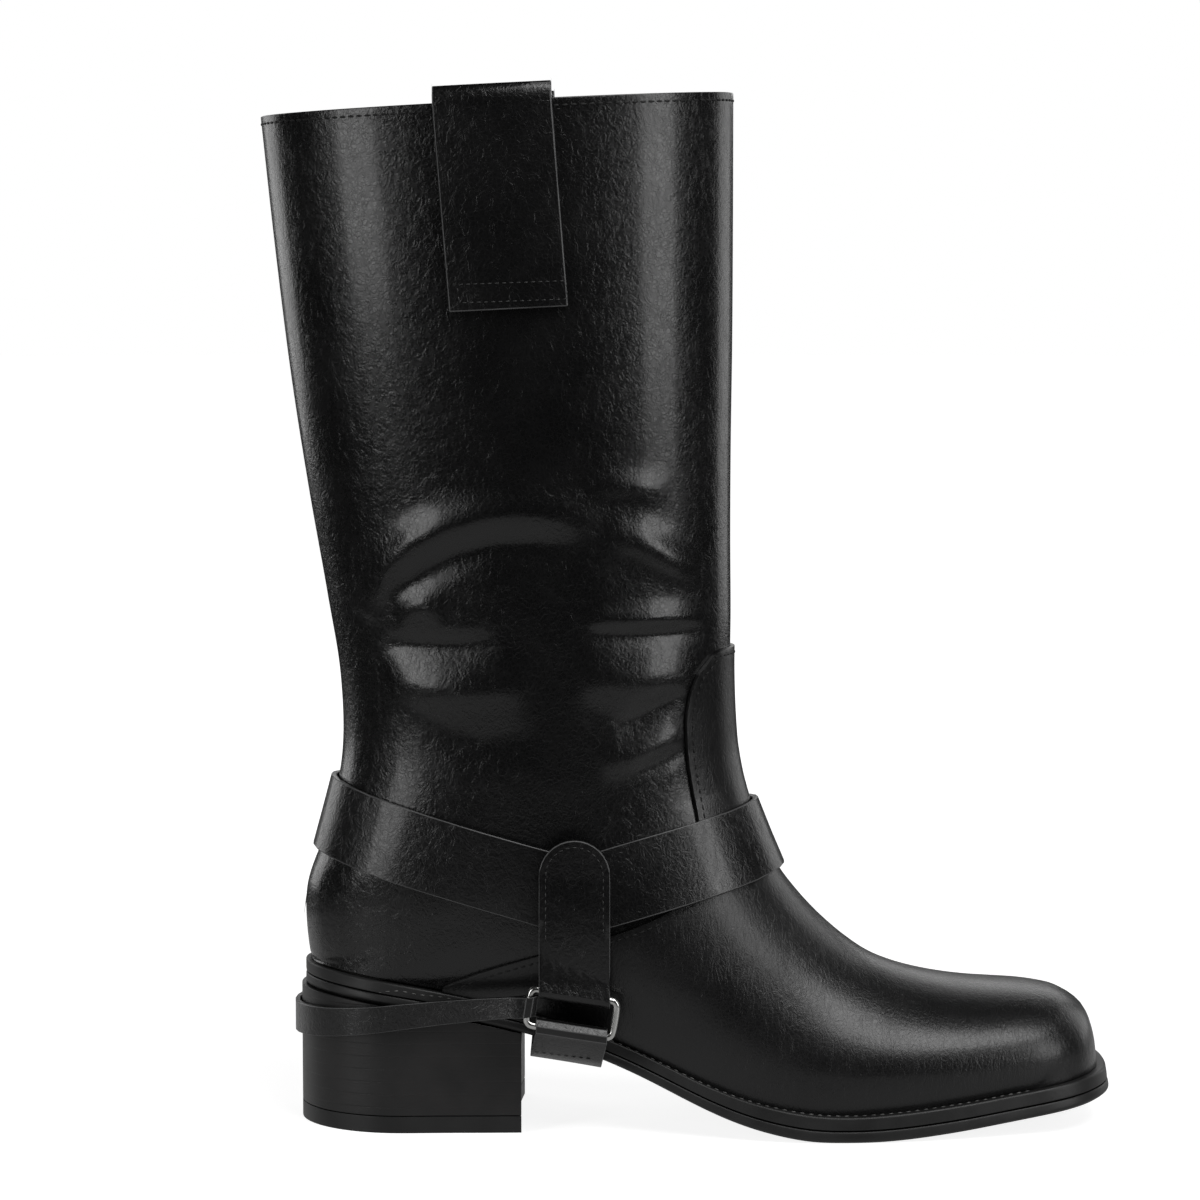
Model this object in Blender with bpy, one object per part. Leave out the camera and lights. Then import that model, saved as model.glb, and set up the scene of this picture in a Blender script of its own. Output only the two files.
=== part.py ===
"""A right mid-calf harness boot with a stacked block heel, built as separate pieces.

X runs from the heel to the toe, Y to the wearer's left, which is the boot's inner side, and Z up.
The pieces hang on one empty, so that the origin lies on the floor under the middle of the heel.
Lengths are in metres. Tables hold shares of the named sizes that stand beside them.
"""

import math

import bmesh
import bpy
from mathutils import Matrix, Vector
from mathutils.bvhtree import BVHTree

MM = 0.001

# Last: the solid form of the foot that the upper is pulled over
LAST_LENGTH = 261 * MM
HEEL_WIDTH = 58 * MM
WAIST_WIDTH = 53 * MM
BALL_WIDTH = 84 * MM
TOE_WIDTH = 70 * MM
HEEL_SEAT = 53 * MM
TOE_SPRING = 9.6 * MM
CROWN_RISE = 100 * MM

# Leg of the boot, from the heel seat to the collar
LEG_HEIGHT = 278.3 * MM
CALF_DEPTH = 154.8 * MM
CALF_WIDTH = 90 * MM
WALL = 1.8 * MM

# Sole and heel
FOREFOOT_EDGE = 8.4 * MM
OUTSOLE_SHARE = 0.5
WELT_MARGIN = 4.7 * MM
EDGE_FLARE = 1.2 * MM
INSOLE_THICKNESS = 3 * MM
HEEL_LENGTH = 74 * MM
HEEL_OVERHANG = 3.2 * MM
HEEL_TAP = 5.5 * MM
BREAST_HOLLOW = 2.5 * MM
MIDSOLE_CHAMFER = 0.5 * MM

# Vamp: the leather over the foot, with a tongue up the shin
VAMP_THICKNESS = 1.2 * MM
TONGUE_RISE = 145 * MM

# Harness of straps
STRAP_WIDTH = 24.5 * MM
STRAP_THICKNESS = 1.9 * MM
FRONT_SLOPE = math.radians(14)
BACK_SLOPE = math.radians(16)
HARNESS_PLACE = 0.338
HARNESS_RISE = 44 * MM
SIDE_TAB_WIDTH = 23 * MM
SIDE_TAB_THICKNESS = 2.6 * MM
SIDE_TAB_OVER = 7 * MM
HEEL_STRAP_WIDTH = 10 * MM
HEEL_STRAP_END = 6.6 * MM
HEEL_STRAP_THICKNESS = 1.6 * MM
HEEL_STRAP_DROP = 18.8 * MM
HEEL_STRAP_EASE = 0.5 * MM
ARCH_STRAP_THICKNESS = 1.7 * MM
ARCH_LEAN = 2 * MM
ARCH_TUCK = 4 * MM
ARCH_ROUND = 0.6 * MM
LOOP_LEATHER = 1.2 * MM

# Ring that joins the straps on each side
RING_LENGTH = 31.4 * MM
RING_HEIGHT = 15.2 * MM
RING_WIRE = 3 * MM
RING_TILT = math.radians(9)
RING_DROP = 36.9 * MM
RING_BACK = 0.9 * MM

# Pull tab over the collar on each side
PULL_WIDTH = 37.8 * MM
PULL_PLACE = 0.238
PULL_DROP = 66 * MM
PULL_INSIDE = 34 * MM
PULL_RISE = 5.5 * MM
PULL_THICKNESS = 1.8 * MM
PULL_LEAN = math.radians(4.6)
COLLAR_BITE = 0.4 * MM

# Gaps: between curved pieces, under the upper, under a faceted strap, and round the ring's wire
GAP = 0.3 * MM
BASE_GAP = 0.45 * MM
SEAT_GAP = 0.7 * MM
WIRE_GAP = 0.35 * MM

# Shares: breast's margin, start of its hollow, ring's corner in wires, drop of the arch strap's bend
BREAST_MARGIN = 0.8
HOLLOW_START = 0.6
RING_CORNER = 0.75
ARCH_BEND = 0.7

# Curves' powers: spacing of the ankle straps' slices, bend of the heel strap towards the ring
BAND_POWER = 1.35
BEND_POWER = 1.6

# Mesh density
TINY = 1e-12
JOIN = 0.02 * MM
CIRCLE_STEPS = 8
SOLE_STEPS = (6, 20, 8)
INSOLE_STEPS = (6, 18, 7)
VAMP_START = 4.0
SEAM_STEPS = 26
COLUMNS = 14
BASE_BIAS = 1.2
DENSE_COLUMNS = 48
DENSE_STEPS = 5

# Sole line seen from the side: share of the length, share of the heel's lift, share of the toe spring
SOLE_LINE = (
    (0.000, 1.000, 0.00),
    (0.052, 0.969, 0.00),
    (0.160, 0.865, 0.00),
    (0.279, 0.709, 0.00),
    (0.382, 0.507, 0.00),
    (0.440, 0.366, 0.00),
    (0.497, 0.211, 0.00),
    (0.547, 0.108, 0.00),
    (0.597, 0.042, 0.00),
    (0.640, 0.004, 0.00),
    (0.700, 0.000, 0.00),
    (0.807, 0.000, 0.26),
    (0.872, 0.000, 0.50),
    (0.949, 0.000, 0.80),
    (1.000, 0.000, 1.00),
)

# Depth of the sole's edge: share of the length, share of the forefoot edge
SOLE_EDGE = ((0.0, 0.93), (0.28, 0.88), (0.45, 0.93), (0.60, 1.03), (1.0, 1.03))

# Sole's outline from above: share of the length, the width there, its share, and the drift to the inner side
# in ball widths
OUTLINE = (
    (0.120, HEEL_WIDTH, 1.000, 0.000),
    (0.220, HEEL_WIDTH, 0.980, -0.004),
    (0.363, WAIST_WIDTH, 1.000, -0.026),
    (0.482, BALL_WIDTH, 0.770, -0.028),
    (0.585, BALL_WIDTH, 0.945, -0.012),
    (0.673, BALL_WIDTH, 1.000, 0.002),
    (0.757, BALL_WIDTH, 0.985, 0.018),
    (0.834, BALL_WIDTH, 0.925, 0.036),
    (0.911, TOE_WIDTH, 1.000, 0.048),
    (1.000, TOE_WIDTH, 0.900, 0.055),
)
HEEL_ROUND = 0.120
TOE_START = 0.911
TOE_POWERS = (3.0, 2.5)
TOE_TAPER = -0.20

# Welt's margin round the sole: share of the length, share of the welt margin
MARGIN = ((0.0, 0.42), (0.30, 0.44), (0.48, 0.75), (0.62, 1.0), (1.0, 1.0))

# Sections of the leg. Front and back heights in leg heights, front place in last lengths, depth in calf
# depths, width in calf widths, place of the widest point, and the roundness of the back
LEG_SECTIONS = (
    (1.028, 1.000, 0.5370, 1.000, 1.000, 0.50, 2.00),
    (0.880, 0.845, 0.5370, 0.971, 0.985, 0.50, 2.00),
    (0.738, 0.695, 0.5365, 0.938, 0.955, 0.50, 2.00),
    (0.613, 0.560, 0.5350, 0.899, 0.915, 0.50, 2.00),
    (0.506, 0.438, 0.5347, 0.861, 0.875, 0.50, 2.00),
    (0.417, 0.339, 0.5355, 0.835, 0.845, 0.50, 2.05),
    (0.346, 0.246, 0.5350, 0.832, 0.825, 0.50, 2.15),
    (0.292, 0.160, 0.5370, 0.868, 0.815, 0.51, 2.25),
    (0.253, 0.082, 0.5405, 0.920, 0.808, 0.52, 2.35),
)

# Sections of the foot. Base and crown places in last lengths, crown's rise in crown rises, width in ball
# widths, place of the widest point, roundness of the base, the crown's two powers, taper, and drift's share
FOOT_SECTIONS = (
    (0.000, 0.5460, 1.021, 0.865, 0.52, 2.35, 2.00, 2.00, 0.00, 0.0),
    (0.050, 0.5550, 0.940, 0.863, 0.52, 2.35, 2.00, 2.00, 0.00, 0.3),
    (0.130, 0.5690, 0.838, 0.861, 0.51, 2.35, 2.00, 2.00, 0.00, 0.6),
    (0.220, 0.5860, 0.748, 0.863, 0.49, 2.30, 1.98, 2.00, 0.00, 0.9),
    (0.330, 0.6110, 0.666, 0.872, 0.45, 2.25, 1.95, 2.00, 0.00, 1.0),
    (0.450, 0.6530, 0.560, 0.905, 0.39, 2.20, 1.92, 2.00, 0.00, 1.0),
    (0.570, 0.7110, 0.443, 0.985, 0.33, 2.20, 1.92, 2.00, 0.00, 1.0),
    (0.680, 0.7760, 0.367, 1.040, 0.30, 2.20, 1.98, 2.00, 0.00, 1.0),
    (0.775, 0.8430, 0.316, 1.014, 0.27, 2.20, 2.10, 2.05, 0.00, 1.0),
    (0.845, 0.9090, 0.278, 0.951, 0.23, 2.20, 2.30, 2.15, -0.03, 1.0),
    (0.885, 0.9560, 0.236, 0.893, 0.18, 2.20, 2.50, 2.25, -0.07, 1.0),
    (0.902, 0.9840, 0.176, 0.857, 0.12, 2.20, 2.75, 2.35, -0.12, 1.0),
    (0.908, 0.9955, 0.096, 0.838, 0.06, 2.20, 2.90, 2.45, -0.17, 1.0),
    (0.911, 1.0000, 0.003, 0.8305, 0.01, 2.20, 3.00, 2.50, -0.20, 1.0),
)
FOOT_STEPS = (4, 2, 2, 2, 2, 2, 2, 2, 2, 2, 1, 1, 1)

# Vamp's seam seen from the side, from the shin to the heel: place in last lengths, height over the sole
# in tongue rises
SEAM = (
    (0.600, 0.998),
    (0.541, 0.996),
    (0.513, 0.967),
    (0.493, 0.910),
    (0.482, 0.848),
    (0.478, 0.799),
    (0.480, 0.710),
    (0.486, 0.646),
    (0.492, 0.601),
    (0.500, 0.515),
    (0.501, 0.455),
    (0.492, 0.415),
    (0.468, 0.378),
    (0.446, 0.335),
    (0.411, 0.282),
    (0.388, 0.252),
    (0.340, 0.194),
    (0.293, 0.143),
    (0.251, 0.099),
    (0.216, 0.063),
    (0.190, 0.031),
    (0.171, 0.012),
)


def clear_scene():
    """Removes whatever the scene holds."""
    for thing in list(bpy.data.objects):
        bpy.data.objects.remove(thing)


def material(name, colour, roughness, metallic=0.0):
    """A plain surface finish with the piece's own colour."""
    made = bpy.data.materials.new(name)
    made.use_nodes = True
    shader = made.node_tree.nodes["Principled BSDF"]
    shader.inputs["Base Color"].default_value = (*colour, 1.0)
    shader.inputs["Roughness"].default_value = roughness
    shader.inputs["Metallic"].default_value = metallic
    made.diffuse_color = (*colour, 1.0)
    return made


def through(rows, column, at):
    """A smooth curve through one column of a table whose first column runs upwards."""
    last = len(rows) - 1
    at = min(max(at, rows[0][0]), rows[last][0])
    i = next((k for k in range(last) if at <= rows[k + 1][0]), last - 1)
    before, low, high, after = rows[max(i - 1, 0)], rows[i], rows[i + 1], rows[min(i + 2, last)]
    span = high[0] - low[0]
    t = (at - low[0]) / span
    slope_low = (high[column] - before[column]) / (high[0] - before[0]) * span
    slope_high = (after[column] - low[column]) / (after[0] - low[0]) * span
    return (
        (2 * t**3 - 3 * t**2 + 1) * low[column]
        + (t**3 - 2 * t**2 + t) * slope_low
        + (3 * t**2 - 2 * t**3) * high[column]
        + (t**3 - t**2) * slope_high
    )


def eased(low, high, at):
    """0 below low, 1 above high, and a smooth step between."""
    t = min(max((at - low) / (high - low), 0.0), 1.0)
    return t * t * (3 - 2 * t)


def sole_top(x):
    """Height of the sole's upper face."""
    share = x / LAST_LENGTH
    lift = through(SOLE_LINE, 1, share)
    spring = through(SOLE_LINE, 2, share)
    return FOREFOOT_EDGE + lift * (HEEL_SEAT - FOREFOOT_EDGE) + spring * TOE_SPRING


def sole_bottom(x):
    """Height of the sole's lower face, flat on the floor under the ball."""
    return max(0.0, sole_top(x) - through(SOLE_EDGE, 1, x / LAST_LENGTH) * FOREFOOT_EDGE)


def drift(x):
    """How far the foot's centre line lies towards the inner side."""
    return through(OUTLINE, 3, x / LAST_LENGTH) * BALL_WIDTH


def toe_end(along, reach, half_width):
    """Half width of the square toe, some way along its reach."""
    share = min(max(along / reach, 0.0), 1.0)
    power, root = TOE_POWERS
    return (half_width + TOE_TAPER * along) * (1 - share**power) ** (1 / root)


def foot_half_width(x):
    """Half the width of the upper's bottom edge, rounded at the heel and square at the toe."""
    rows = [(share, width * part / 2) for share, width, part, _ in OUTLINE]
    share = x / LAST_LENGTH
    if share > TOE_START:
        start = TOE_START * LAST_LENGTH
        return toe_end(x - start, LAST_LENGTH - start, through(rows, 1, TOE_START))
    if share < HEEL_ROUND:
        return rows[0][1] * math.sqrt(max(0.0, 1 - (1 - share / HEEL_ROUND) ** 2))
    return through(rows, 1, share)


def leg_rows():
    """The leg's sections: place along the leg, then the crown, the base and the shape in real sizes."""
    rows = []
    for i, (front, back, place, depth, width, widest, base_power) in enumerate(LEG_SECTIONS):
        crown_x = place * LAST_LENGTH
        rows.append((
            i,
            crown_x,
            HEEL_SEAT + front * LEG_HEIGHT,
            crown_x - depth * CALF_DEPTH,
            HEEL_SEAT + back * LEG_HEIGHT,
            width * CALF_WIDTH / 2,
            widest,
            base_power,
            2.0,
            2.0,
            0.0,
            0.0,
        ))
    return rows


def foot_rows():
    """The foot's sections, in the same columns as the leg's."""
    rows = []
    for i, row in enumerate(FOOT_SECTIONS):
        base, crown, rise, width, widest, base_power, power, root, taper, swing = row
        crown_x, base_x = crown * LAST_LENGTH, base * LAST_LENGTH
        rows.append((
            i + len(LEG_SECTIONS),
            crown_x,
            sole_top(crown_x) + rise * CROWN_RISE,
            base_x,
            sole_top(base_x) + BASE_GAP,
            width * BALL_WIDTH / 2,
            widest,
            base_power,
            power,
            root,
            taper,
            swing,
        ))
    return rows


LEG, FOOT = leg_rows(), foot_rows()
ALL_ROWS = LEG + FOOT
SEAT_ROW = FOOT[0][0]
BACK_LINE = [*LEG, FOOT[0]]


class Section:
    """One slice of the upper's form, in a plane that runs from side to side of the boot."""

    def __init__(self, at):
        values = [through(ALL_ROWS, column, at) for column in range(1, 12)]
        self.crown = Vector((values[0], 0, values[1]))
        self.side, self.widest, self.base_power, self.power, self.root, self.taper, self.swing = values[4:]
        if at <= SEAT_ROW:
            self.base = Vector((through(BACK_LINE, 3, at), 0, through(BACK_LINE, 4, at)))
            self.foot = 0.0
        else:
            x = through(FOOT, 3, at)
            self.base = Vector((x, 0, sole_top(x) + BASE_GAP))
            self.foot = foot_half_width(x)
        self.side = max(self.side, self.foot * 1.0005)
        self.height = (self.crown - self.base).length
        self.up = (self.crown - self.base).normalized()

    def half_width(self, rise):
        """Half width at a rise above the base."""
        top = self.widest * self.height
        if rise >= top:
            share = min((rise - top) / (self.height - top), 1.0)
            return (self.side + self.taper * (rise - top)) * (1 - share**self.power) ** (1 / self.root)
        shut = (1 - (self.foot / self.side) ** self.base_power) ** (1 / self.base_power)
        share = (top - rise) / (top / shut)
        return self.side * (1 - share**self.base_power) ** (1 / self.base_power)

    def half(self, count):
        """Points from the base to the crown on the inner side, evenly spaced along the curve."""
        fine = 240
        rises = [self.height * (1 - math.cos(math.pi * k / fine)) / 2 for k in range(fine + 1)]
        points = [(self.half_width(rise), rise) for rise in rises]
        points[-1] = (0.0, self.height)
        lengths = [0.0]
        for (a, b), (c, d) in zip(points, points[1:]):
            lengths.append(lengths[-1] + math.hypot(c - a, d - b))
        chosen, k = [], 0
        for i in range(count + 1):
            wanted = lengths[-1] * (i / count) ** BASE_BIAS
            while k < fine - 1 and lengths[k + 1] < wanted:
                k += 1
            part = (wanted - lengths[k]) / max(lengths[k + 1] - lengths[k], TINY)
            chosen.append(tuple(points[k][n] + (points[k + 1][n] - points[k][n]) * part for n in (0, 1)))
        return chosen

    def points(self, count):
        """Points round the section, from the outer side's base over the crown to the inner side's base."""
        half = self.half(count)
        turn = [(-y, rise) for y, rise in half] + [(y, rise) for y, rise in reversed(half[:-1])]
        places = []
        for y, rise in turn:
            place = self.base + self.up * rise
            place.y = y + drift(place.x) * self.swing
            places.append(place)
        return places


def mesh_object(name, bm, finish, collection, smooth=True):
    """Stores a bmesh as a named object with one finish."""
    mesh = bpy.data.meshes.new(name)
    bm.to_mesh(mesh)
    bm.free()
    mesh.materials.append(finish)
    if smooth:
        mesh.shade_smooth()
        mesh.set_sharp_from_angle(angle=math.radians(40))
    made = bpy.data.objects.new(name, mesh)
    collection.objects.link(made)
    made.parent = bpy.data.objects["boot"]
    return made


def form(places, count, stand_off=0.0):
    """The open skin through the sections at these places, moved outwards. Its open edges move level."""
    bm = bmesh.new()
    grid = [[bm.verts.new(p) for p in Section(at).points(count)] for at in places]
    for above, below in zip(grid, grid[1:]):
        for i in range(len(above) - 1):
            left, right = (above, below) if i < count else (below, above)
            bm.faces.new((left[i], left[i + 1], right[i]))
            bm.faces.new((left[i + 1], right[i + 1], right[i]))
    bmesh.ops.remove_doubles(bm, verts=bm.verts, dist=JOIN)
    bmesh.ops.recalc_face_normals(bm, faces=bm.faces)
    widest = max(bm.faces, key=lambda face: face.calc_center_median().y)
    if widest.normal.y < 0:
        bmesh.ops.reverse_faces(bm, faces=bm.faces)
    bm.normal_update()
    bm.verts.index_update()
    moves = []
    for vert in bm.verts:
        way = vert.normal.copy()
        if vert.is_boundary:
            way.z = 0
            way.normalize()
        moves.append(way * stand_off)
    for vert, move in zip(bm.verts, moves):
        vert.co += move
    return bm


def shell(places, count, inner, outer):
    """A closed wall between two stand-offs from the form."""
    bm, inside = form(places, count, outer), form(places, count, inner)
    outer_verts = list(bm.verts)
    rim = [edge.link_loops[0] for edge in bm.edges if edge.is_boundary]
    rim = [(loop.vert.index, loop.link_loop_next.vert.index) for loop in rim]
    inner_verts = [bm.verts.new(v.co) for v in inside.verts]
    for face in inside.faces:
        bm.faces.new([inner_verts[v.index] for v in reversed(face.verts)])
    for a, b in rim:
        bm.faces.new((outer_verts[b], outer_verts[a], inner_verts[a]))
        bm.faces.new((outer_verts[b], inner_verts[a], inner_verts[b]))
    inside.free()
    return bm


def form_places(start=0.0):
    """Places of the mesh's sections, closer together over the foot."""
    places = [float(i) for i in range(SEAT_ROW)]
    for i, steps in enumerate(FOOT_STEPS):
        power = 2 if i == 0 else 1
        places += [SEAT_ROW + i + (k / steps) ** power for k in range(steps)]
    places.append(SEAT_ROW + len(FOOT_STEPS))
    return [p for p in places if p >= start]


def dense_form():
    """A fine copy of the upper's form that the straps are laid on."""
    last = len(ALL_ROWS) - 1
    places = [i / DENSE_STEPS for i in range(last * DENSE_STEPS + 1)]
    return BVHTree.FromBMesh(form(places, DENSE_COLUMNS))


def on_form(tree, start, direction, stand_off):
    """The point where a ray from inside the boot meets the form, moved outwards by the stand-off."""
    hit, normal, _, _ = tree.ray_cast(Vector(start), Vector(direction).normalized())
    if normal.dot(Vector(direction)) < 0:
        normal = -normal
    return hit + normal * stand_off


def loft(rings, closed=False):
    """A solid through rings of equally many points, capped at both ends or closed on itself."""
    bm = bmesh.new()
    grid = [[bm.verts.new(p) for p in ring] for ring in rings]
    count = len(grid[0])
    pairs = list(zip(grid, grid[1:])) + ([(grid[-1], grid[0])] if closed else [])
    for one, two in pairs:
        for i in range(count):
            j = (i + 1) % count
            bm.faces.new((one[i], one[j], two[j], two[i]))
    if not closed:
        bm.faces.new(grid[0])
        bm.faces.new(grid[-1])
    bmesh.ops.remove_doubles(bm, verts=bm.verts, dist=JOIN / 2)
    bmesh.ops.dissolve_degenerate(bm, dist=JOIN / 4, edges=bm.edges)
    bmesh.ops.recalc_face_normals(bm, faces=bm.faces)
    return bm


def add_upper(collection, finish):
    """The hollow upper, open at the collar and underneath."""
    mesh_object("upper", shell(form_places(), COLUMNS, -WALL, 0.0), finish, collection)


def seam_line():
    """The vamp's seam seen from the side, in real sizes."""
    return [(s * LAST_LENGTH, sole_top(s * LAST_LENGTH) + rise * TONGUE_RISE) for s, rise in SEAM]


def add_vamp(collection, finish, cutters):
    """The vamp, cut from a second form over the upper by the seam's outline."""
    bm = shell(form_places(VAMP_START), COLUMNS, GAP, GAP + VAMP_THICKNESS)
    made = mesh_object("vamp", bm, finish, collection)
    seam = seam_line()
    toe = LAST_LENGTH + WELT_MARGIN * 2
    start = seam[-1][0]
    sole = [start + (toe - start) * k / SEAM_STEPS for k in range(SEAM_STEPS + 1)]
    outline = seam + [(x, sole_top(x) - BASE_GAP) for x in sole] + [(toe, seam[0][1])]
    half = BALL_WIDTH
    made_cutter = loft([[(x, y, z) for x, z in outline] for y in (-half, half)])
    cutter = mesh_object("vamp_cutter", made_cutter, finish, cutters, smooth=False)
    cutter.display_type = "WIRE"
    cutter.hide_render = True
    cut = made.modifiers.new("seam", "BOOLEAN")
    cut.operation = "INTERSECT"
    cut.object = cutter
    return made


def plate_stations(back, tip, heel_steps, steps, toe_steps):
    """Places along a sole layer, closer together at its rounded ends."""
    heel_end = HEEL_ROUND * LAST_LENGTH
    toe_start = TOE_START * LAST_LENGTH
    turns = [math.pi / 2 * k / heel_steps for k in range(heel_steps)]
    stations = [back + (heel_end - back) * (1 - math.cos(turn)) for turn in turns]
    stations += [heel_end + (toe_start - heel_end) * k / steps for k in range(steps)]
    turns = [math.pi / 2 * k / toe_steps for k in range(toe_steps)]
    stations += [toe_start + (tip - toe_start) * math.sin(turn) for turn in turns]
    return stations + [tip]


def edge_half_width(x, margin, heel_back, toe_tip):
    """Half width of a sole layer whose edge stands a margin outside the upper's."""
    if x <= heel_back or x >= toe_tip:
        return 0.0
    heel_end, toe_start = HEEL_ROUND * LAST_LENGTH, TOE_START * LAST_LENGTH
    if x < heel_end:
        share = (heel_end - x) / (heel_end - heel_back)
        return (foot_half_width(heel_end) + margin) * math.sqrt(max(0.0, 1 - share**2))
    if x > toe_start:
        return toe_end(x - toe_start, toe_tip - toe_start, foot_half_width(toe_start) + margin)
    return foot_half_width(x) + margin


def sole_layer(depths, flares):
    """A layer of the sole. Depths are shares of the sole's edge, from its top down, with a flare for each."""
    back = -MARGIN[0][1] * WELT_MARGIN
    tip = LAST_LENGTH + WELT_MARGIN
    rings = []
    for x in plate_stations(back, tip, *SOLE_STEPS):
        inside = min(max(x, 0.0), LAST_LENGTH)
        top, bottom = sole_top(inside), sole_bottom(inside)
        margin = through(MARGIN, 1, inside / LAST_LENGTH) * WELT_MARGIN
        sides = []
        for depth, flare in zip(depths, flares):
            z = top - depth * (top - bottom)
            sides.append((edge_half_width(x, margin + flare, back, tip), z))
        centre = drift(inside)
        ring = [(x, centre - y, z) for y, z in sides] + [(x, centre + y, z) for y, z in reversed(sides)]
        rings.append(ring)
    return rings


def reach(rings, flare_shares):
    """Pushes a layer's lower corners out past its ends, so that its edge flares there too."""
    count = len(flare_shares)
    tip = LAST_LENGTH * TOE_START
    for ring in rings:
        push = eased(tip, LAST_LENGTH + WELT_MARGIN, ring[0][0])
        for i, share in enumerate(flare_shares):
            for k in (i, 2 * count - 1 - i):
                x, y, z = ring[k]
                ring[k] = (x + push * share * EDGE_FLARE, y, z)
    return rings


def add_soles(collection, midsole_finish, outsole_finish):
    """The midsole that closes the upper, and the outsole under it."""
    split = 1 - OUTSOLE_SHARE
    depth_gap = GAP / FOREFOOT_EDGE
    midsole_depths = (0.0, 0.06, split)
    midsole_flares = (-MIDSOLE_CHAMFER, 0.0, EDGE_FLARE / 2)
    outsole_depths = (split + depth_gap, 0.85, 1.0)
    outsole_flares = (EDGE_FLARE / 2, EDGE_FLARE, 0.0)
    for name, depths, flares, finish in (
        ("midsole", midsole_depths, midsole_flares, midsole_finish),
        ("outsole", outsole_depths, outsole_flares, outsole_finish),
    ):
        rings = reach(sole_layer(depths, flares), [flare / EDGE_FLARE for flare in flares])
        mesh_object(name, loft(rings), finish, collection)


def add_insole(collection, finish):
    """The insole, inside the upper's wall."""
    inset = WALL + 6 * GAP
    back, tip = inset, LAST_LENGTH - inset
    rings = []
    for x in plate_stations(back, tip, *INSOLE_STEPS):
        y = edge_half_width(x, -inset, back, tip)
        z = sole_top(x) + GAP
        centre = drift(x)
        top = z + INSOLE_THICKNESS
        rings.append([(x, centre - y, top), (x, centre - y, z), (x, centre + y, z), (x, centre + y, top)])
    mesh_object("insole", loft(rings), finish, collection)


def heel_outline(count):
    """The heel's outline from above, from the outer breast corner round the back to the inner one."""
    back, breast = -HEEL_OVERHANG, HEEL_LENGTH - HEEL_OVERHANG
    heel_end = HEEL_ROUND * LAST_LENGTH
    side = []
    for k in range(count + 1):
        x = back + (heel_end - back) * (1 - math.cos(math.pi / 2 * k / count))
        side.append((x, edge_half_width(x, HEEL_OVERHANG, back, LAST_LENGTH)))
    for k in range(1, 4):
        x = heel_end + (breast - heel_end) * k / 3
        side.append((x, foot_half_width(x) + HEEL_OVERHANG * BREAST_MARGIN))
    return side


def heel_slice(x, y, low, top, middle_top):
    """One slice of the heel, hollow in the middle, between a lower and an upper height."""
    hollow = BREAST_HOLLOW * eased(HOLLOW_START * HEEL_LENGTH, HEEL_LENGTH - HEEL_OVERHANG, x)
    centre = drift(max(x, 0.0))
    return [
        (x, centre - y, low),
        (x, centre - y, top),
        (x - hollow, centre, middle_top),
        (x, centre + y, top),
        (x, centre + y, low),
        (x - hollow, centre, low),
    ]


def add_heel(collection, block_finish, tap_finish):
    """The stacked block and its tap, both with a hollow breast."""
    block, tap = [], []
    for x, y in heel_outline(CIRCLE_STEPS):
        hollow = BREAST_HOLLOW * eased(HOLLOW_START * HEEL_LENGTH, HEEL_LENGTH - HEEL_OVERHANG, x)
        top = sole_bottom(max(x, 0.0)) - GAP
        middle_top = sole_bottom(max(x - hollow, 0.0)) - GAP
        block.append(heel_slice(x, y, HEEL_TAP + GAP, top, middle_top))
        tap.append(heel_slice(x, y, 0.0, HEEL_TAP, HEEL_TAP))
    mesh_object("heel_block", loft(block), block_finish, collection)
    mesh_object("heel_tap", loft(tap), tap_finish, collection)


def harness_point():
    """Where the straps' middle lines would meet, inside the boot."""
    x = HARNESS_PLACE * LAST_LENGTH
    return Vector((x, 0, sole_top(x) + HARNESS_RISE))


def ankle_band(tree, forward, slope, stand_off, count=24):
    """A strap from side to side of the boot, forward over the instep or back round the heel."""
    centre = harness_point()
    rise = STRAP_WIDTH / 2 / math.cos(slope)
    rings = []
    for k in range(count + 1):
        turn = 2 * k / count - 1
        angle = math.copysign(abs(turn) ** BAND_POWER, turn) * math.pi / 2
        ray = Vector((forward * math.cos(angle), math.sin(angle), math.tan(slope) * math.cos(angle)))
        inner, outer = [], []
        for share in (1.0, 0.0, -1.0):
            start = centre + Vector((forward * GAP / 2, 0, rise * share))
            inner.append(on_form(tree, start, ray, stand_off))
            outer.append(on_form(tree, start, ray, stand_off + STRAP_THICKNESS))
        for line in (inner, outer):
            chord = (line[0] + line[2]) / 2
            away = Vector((ray.x, ray.y, 0)).normalized()
            short = (chord - line[1]).dot(away)
            if short > 0:
                line[1] += away * short
        rings.append(inner + outer[::-1])
    return loft(rings)


def outermost(tree, side, z, stand_off):
    """How far out a strap stands at a height, across the side tab's width."""
    centre = harness_point()
    places = [(centre.x + SIDE_TAB_WIDTH / 2 * k, 0, z) for k in (-1, 0, 1)]
    return max(abs(on_form(tree, place, (0, side, 0), stand_off).y) for place in places)


def tab_line(tree, side):
    """The side tab's middle line, from its top end down to the ring: points across and up."""
    centre = harness_point()
    over = 2 * SEAT_GAP + VAMP_THICKNESS + STRAP_THICKNESS + SIDE_TAB_THICKNESS / 2
    rise = STRAP_WIDTH / 2
    heights = (rise + SIDE_TAB_OVER, rise, rise / 2, 0.0, -rise / 2, -rise)
    out = [outermost(tree, side, centre.z + h, over) for h in heights]
    hang = ring_centre(tree, 1).y
    return [(y + (hang - y) * eased(heights[2], heights[-1], h), centre.z + h) for y, h in zip(out, heights)]


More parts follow.
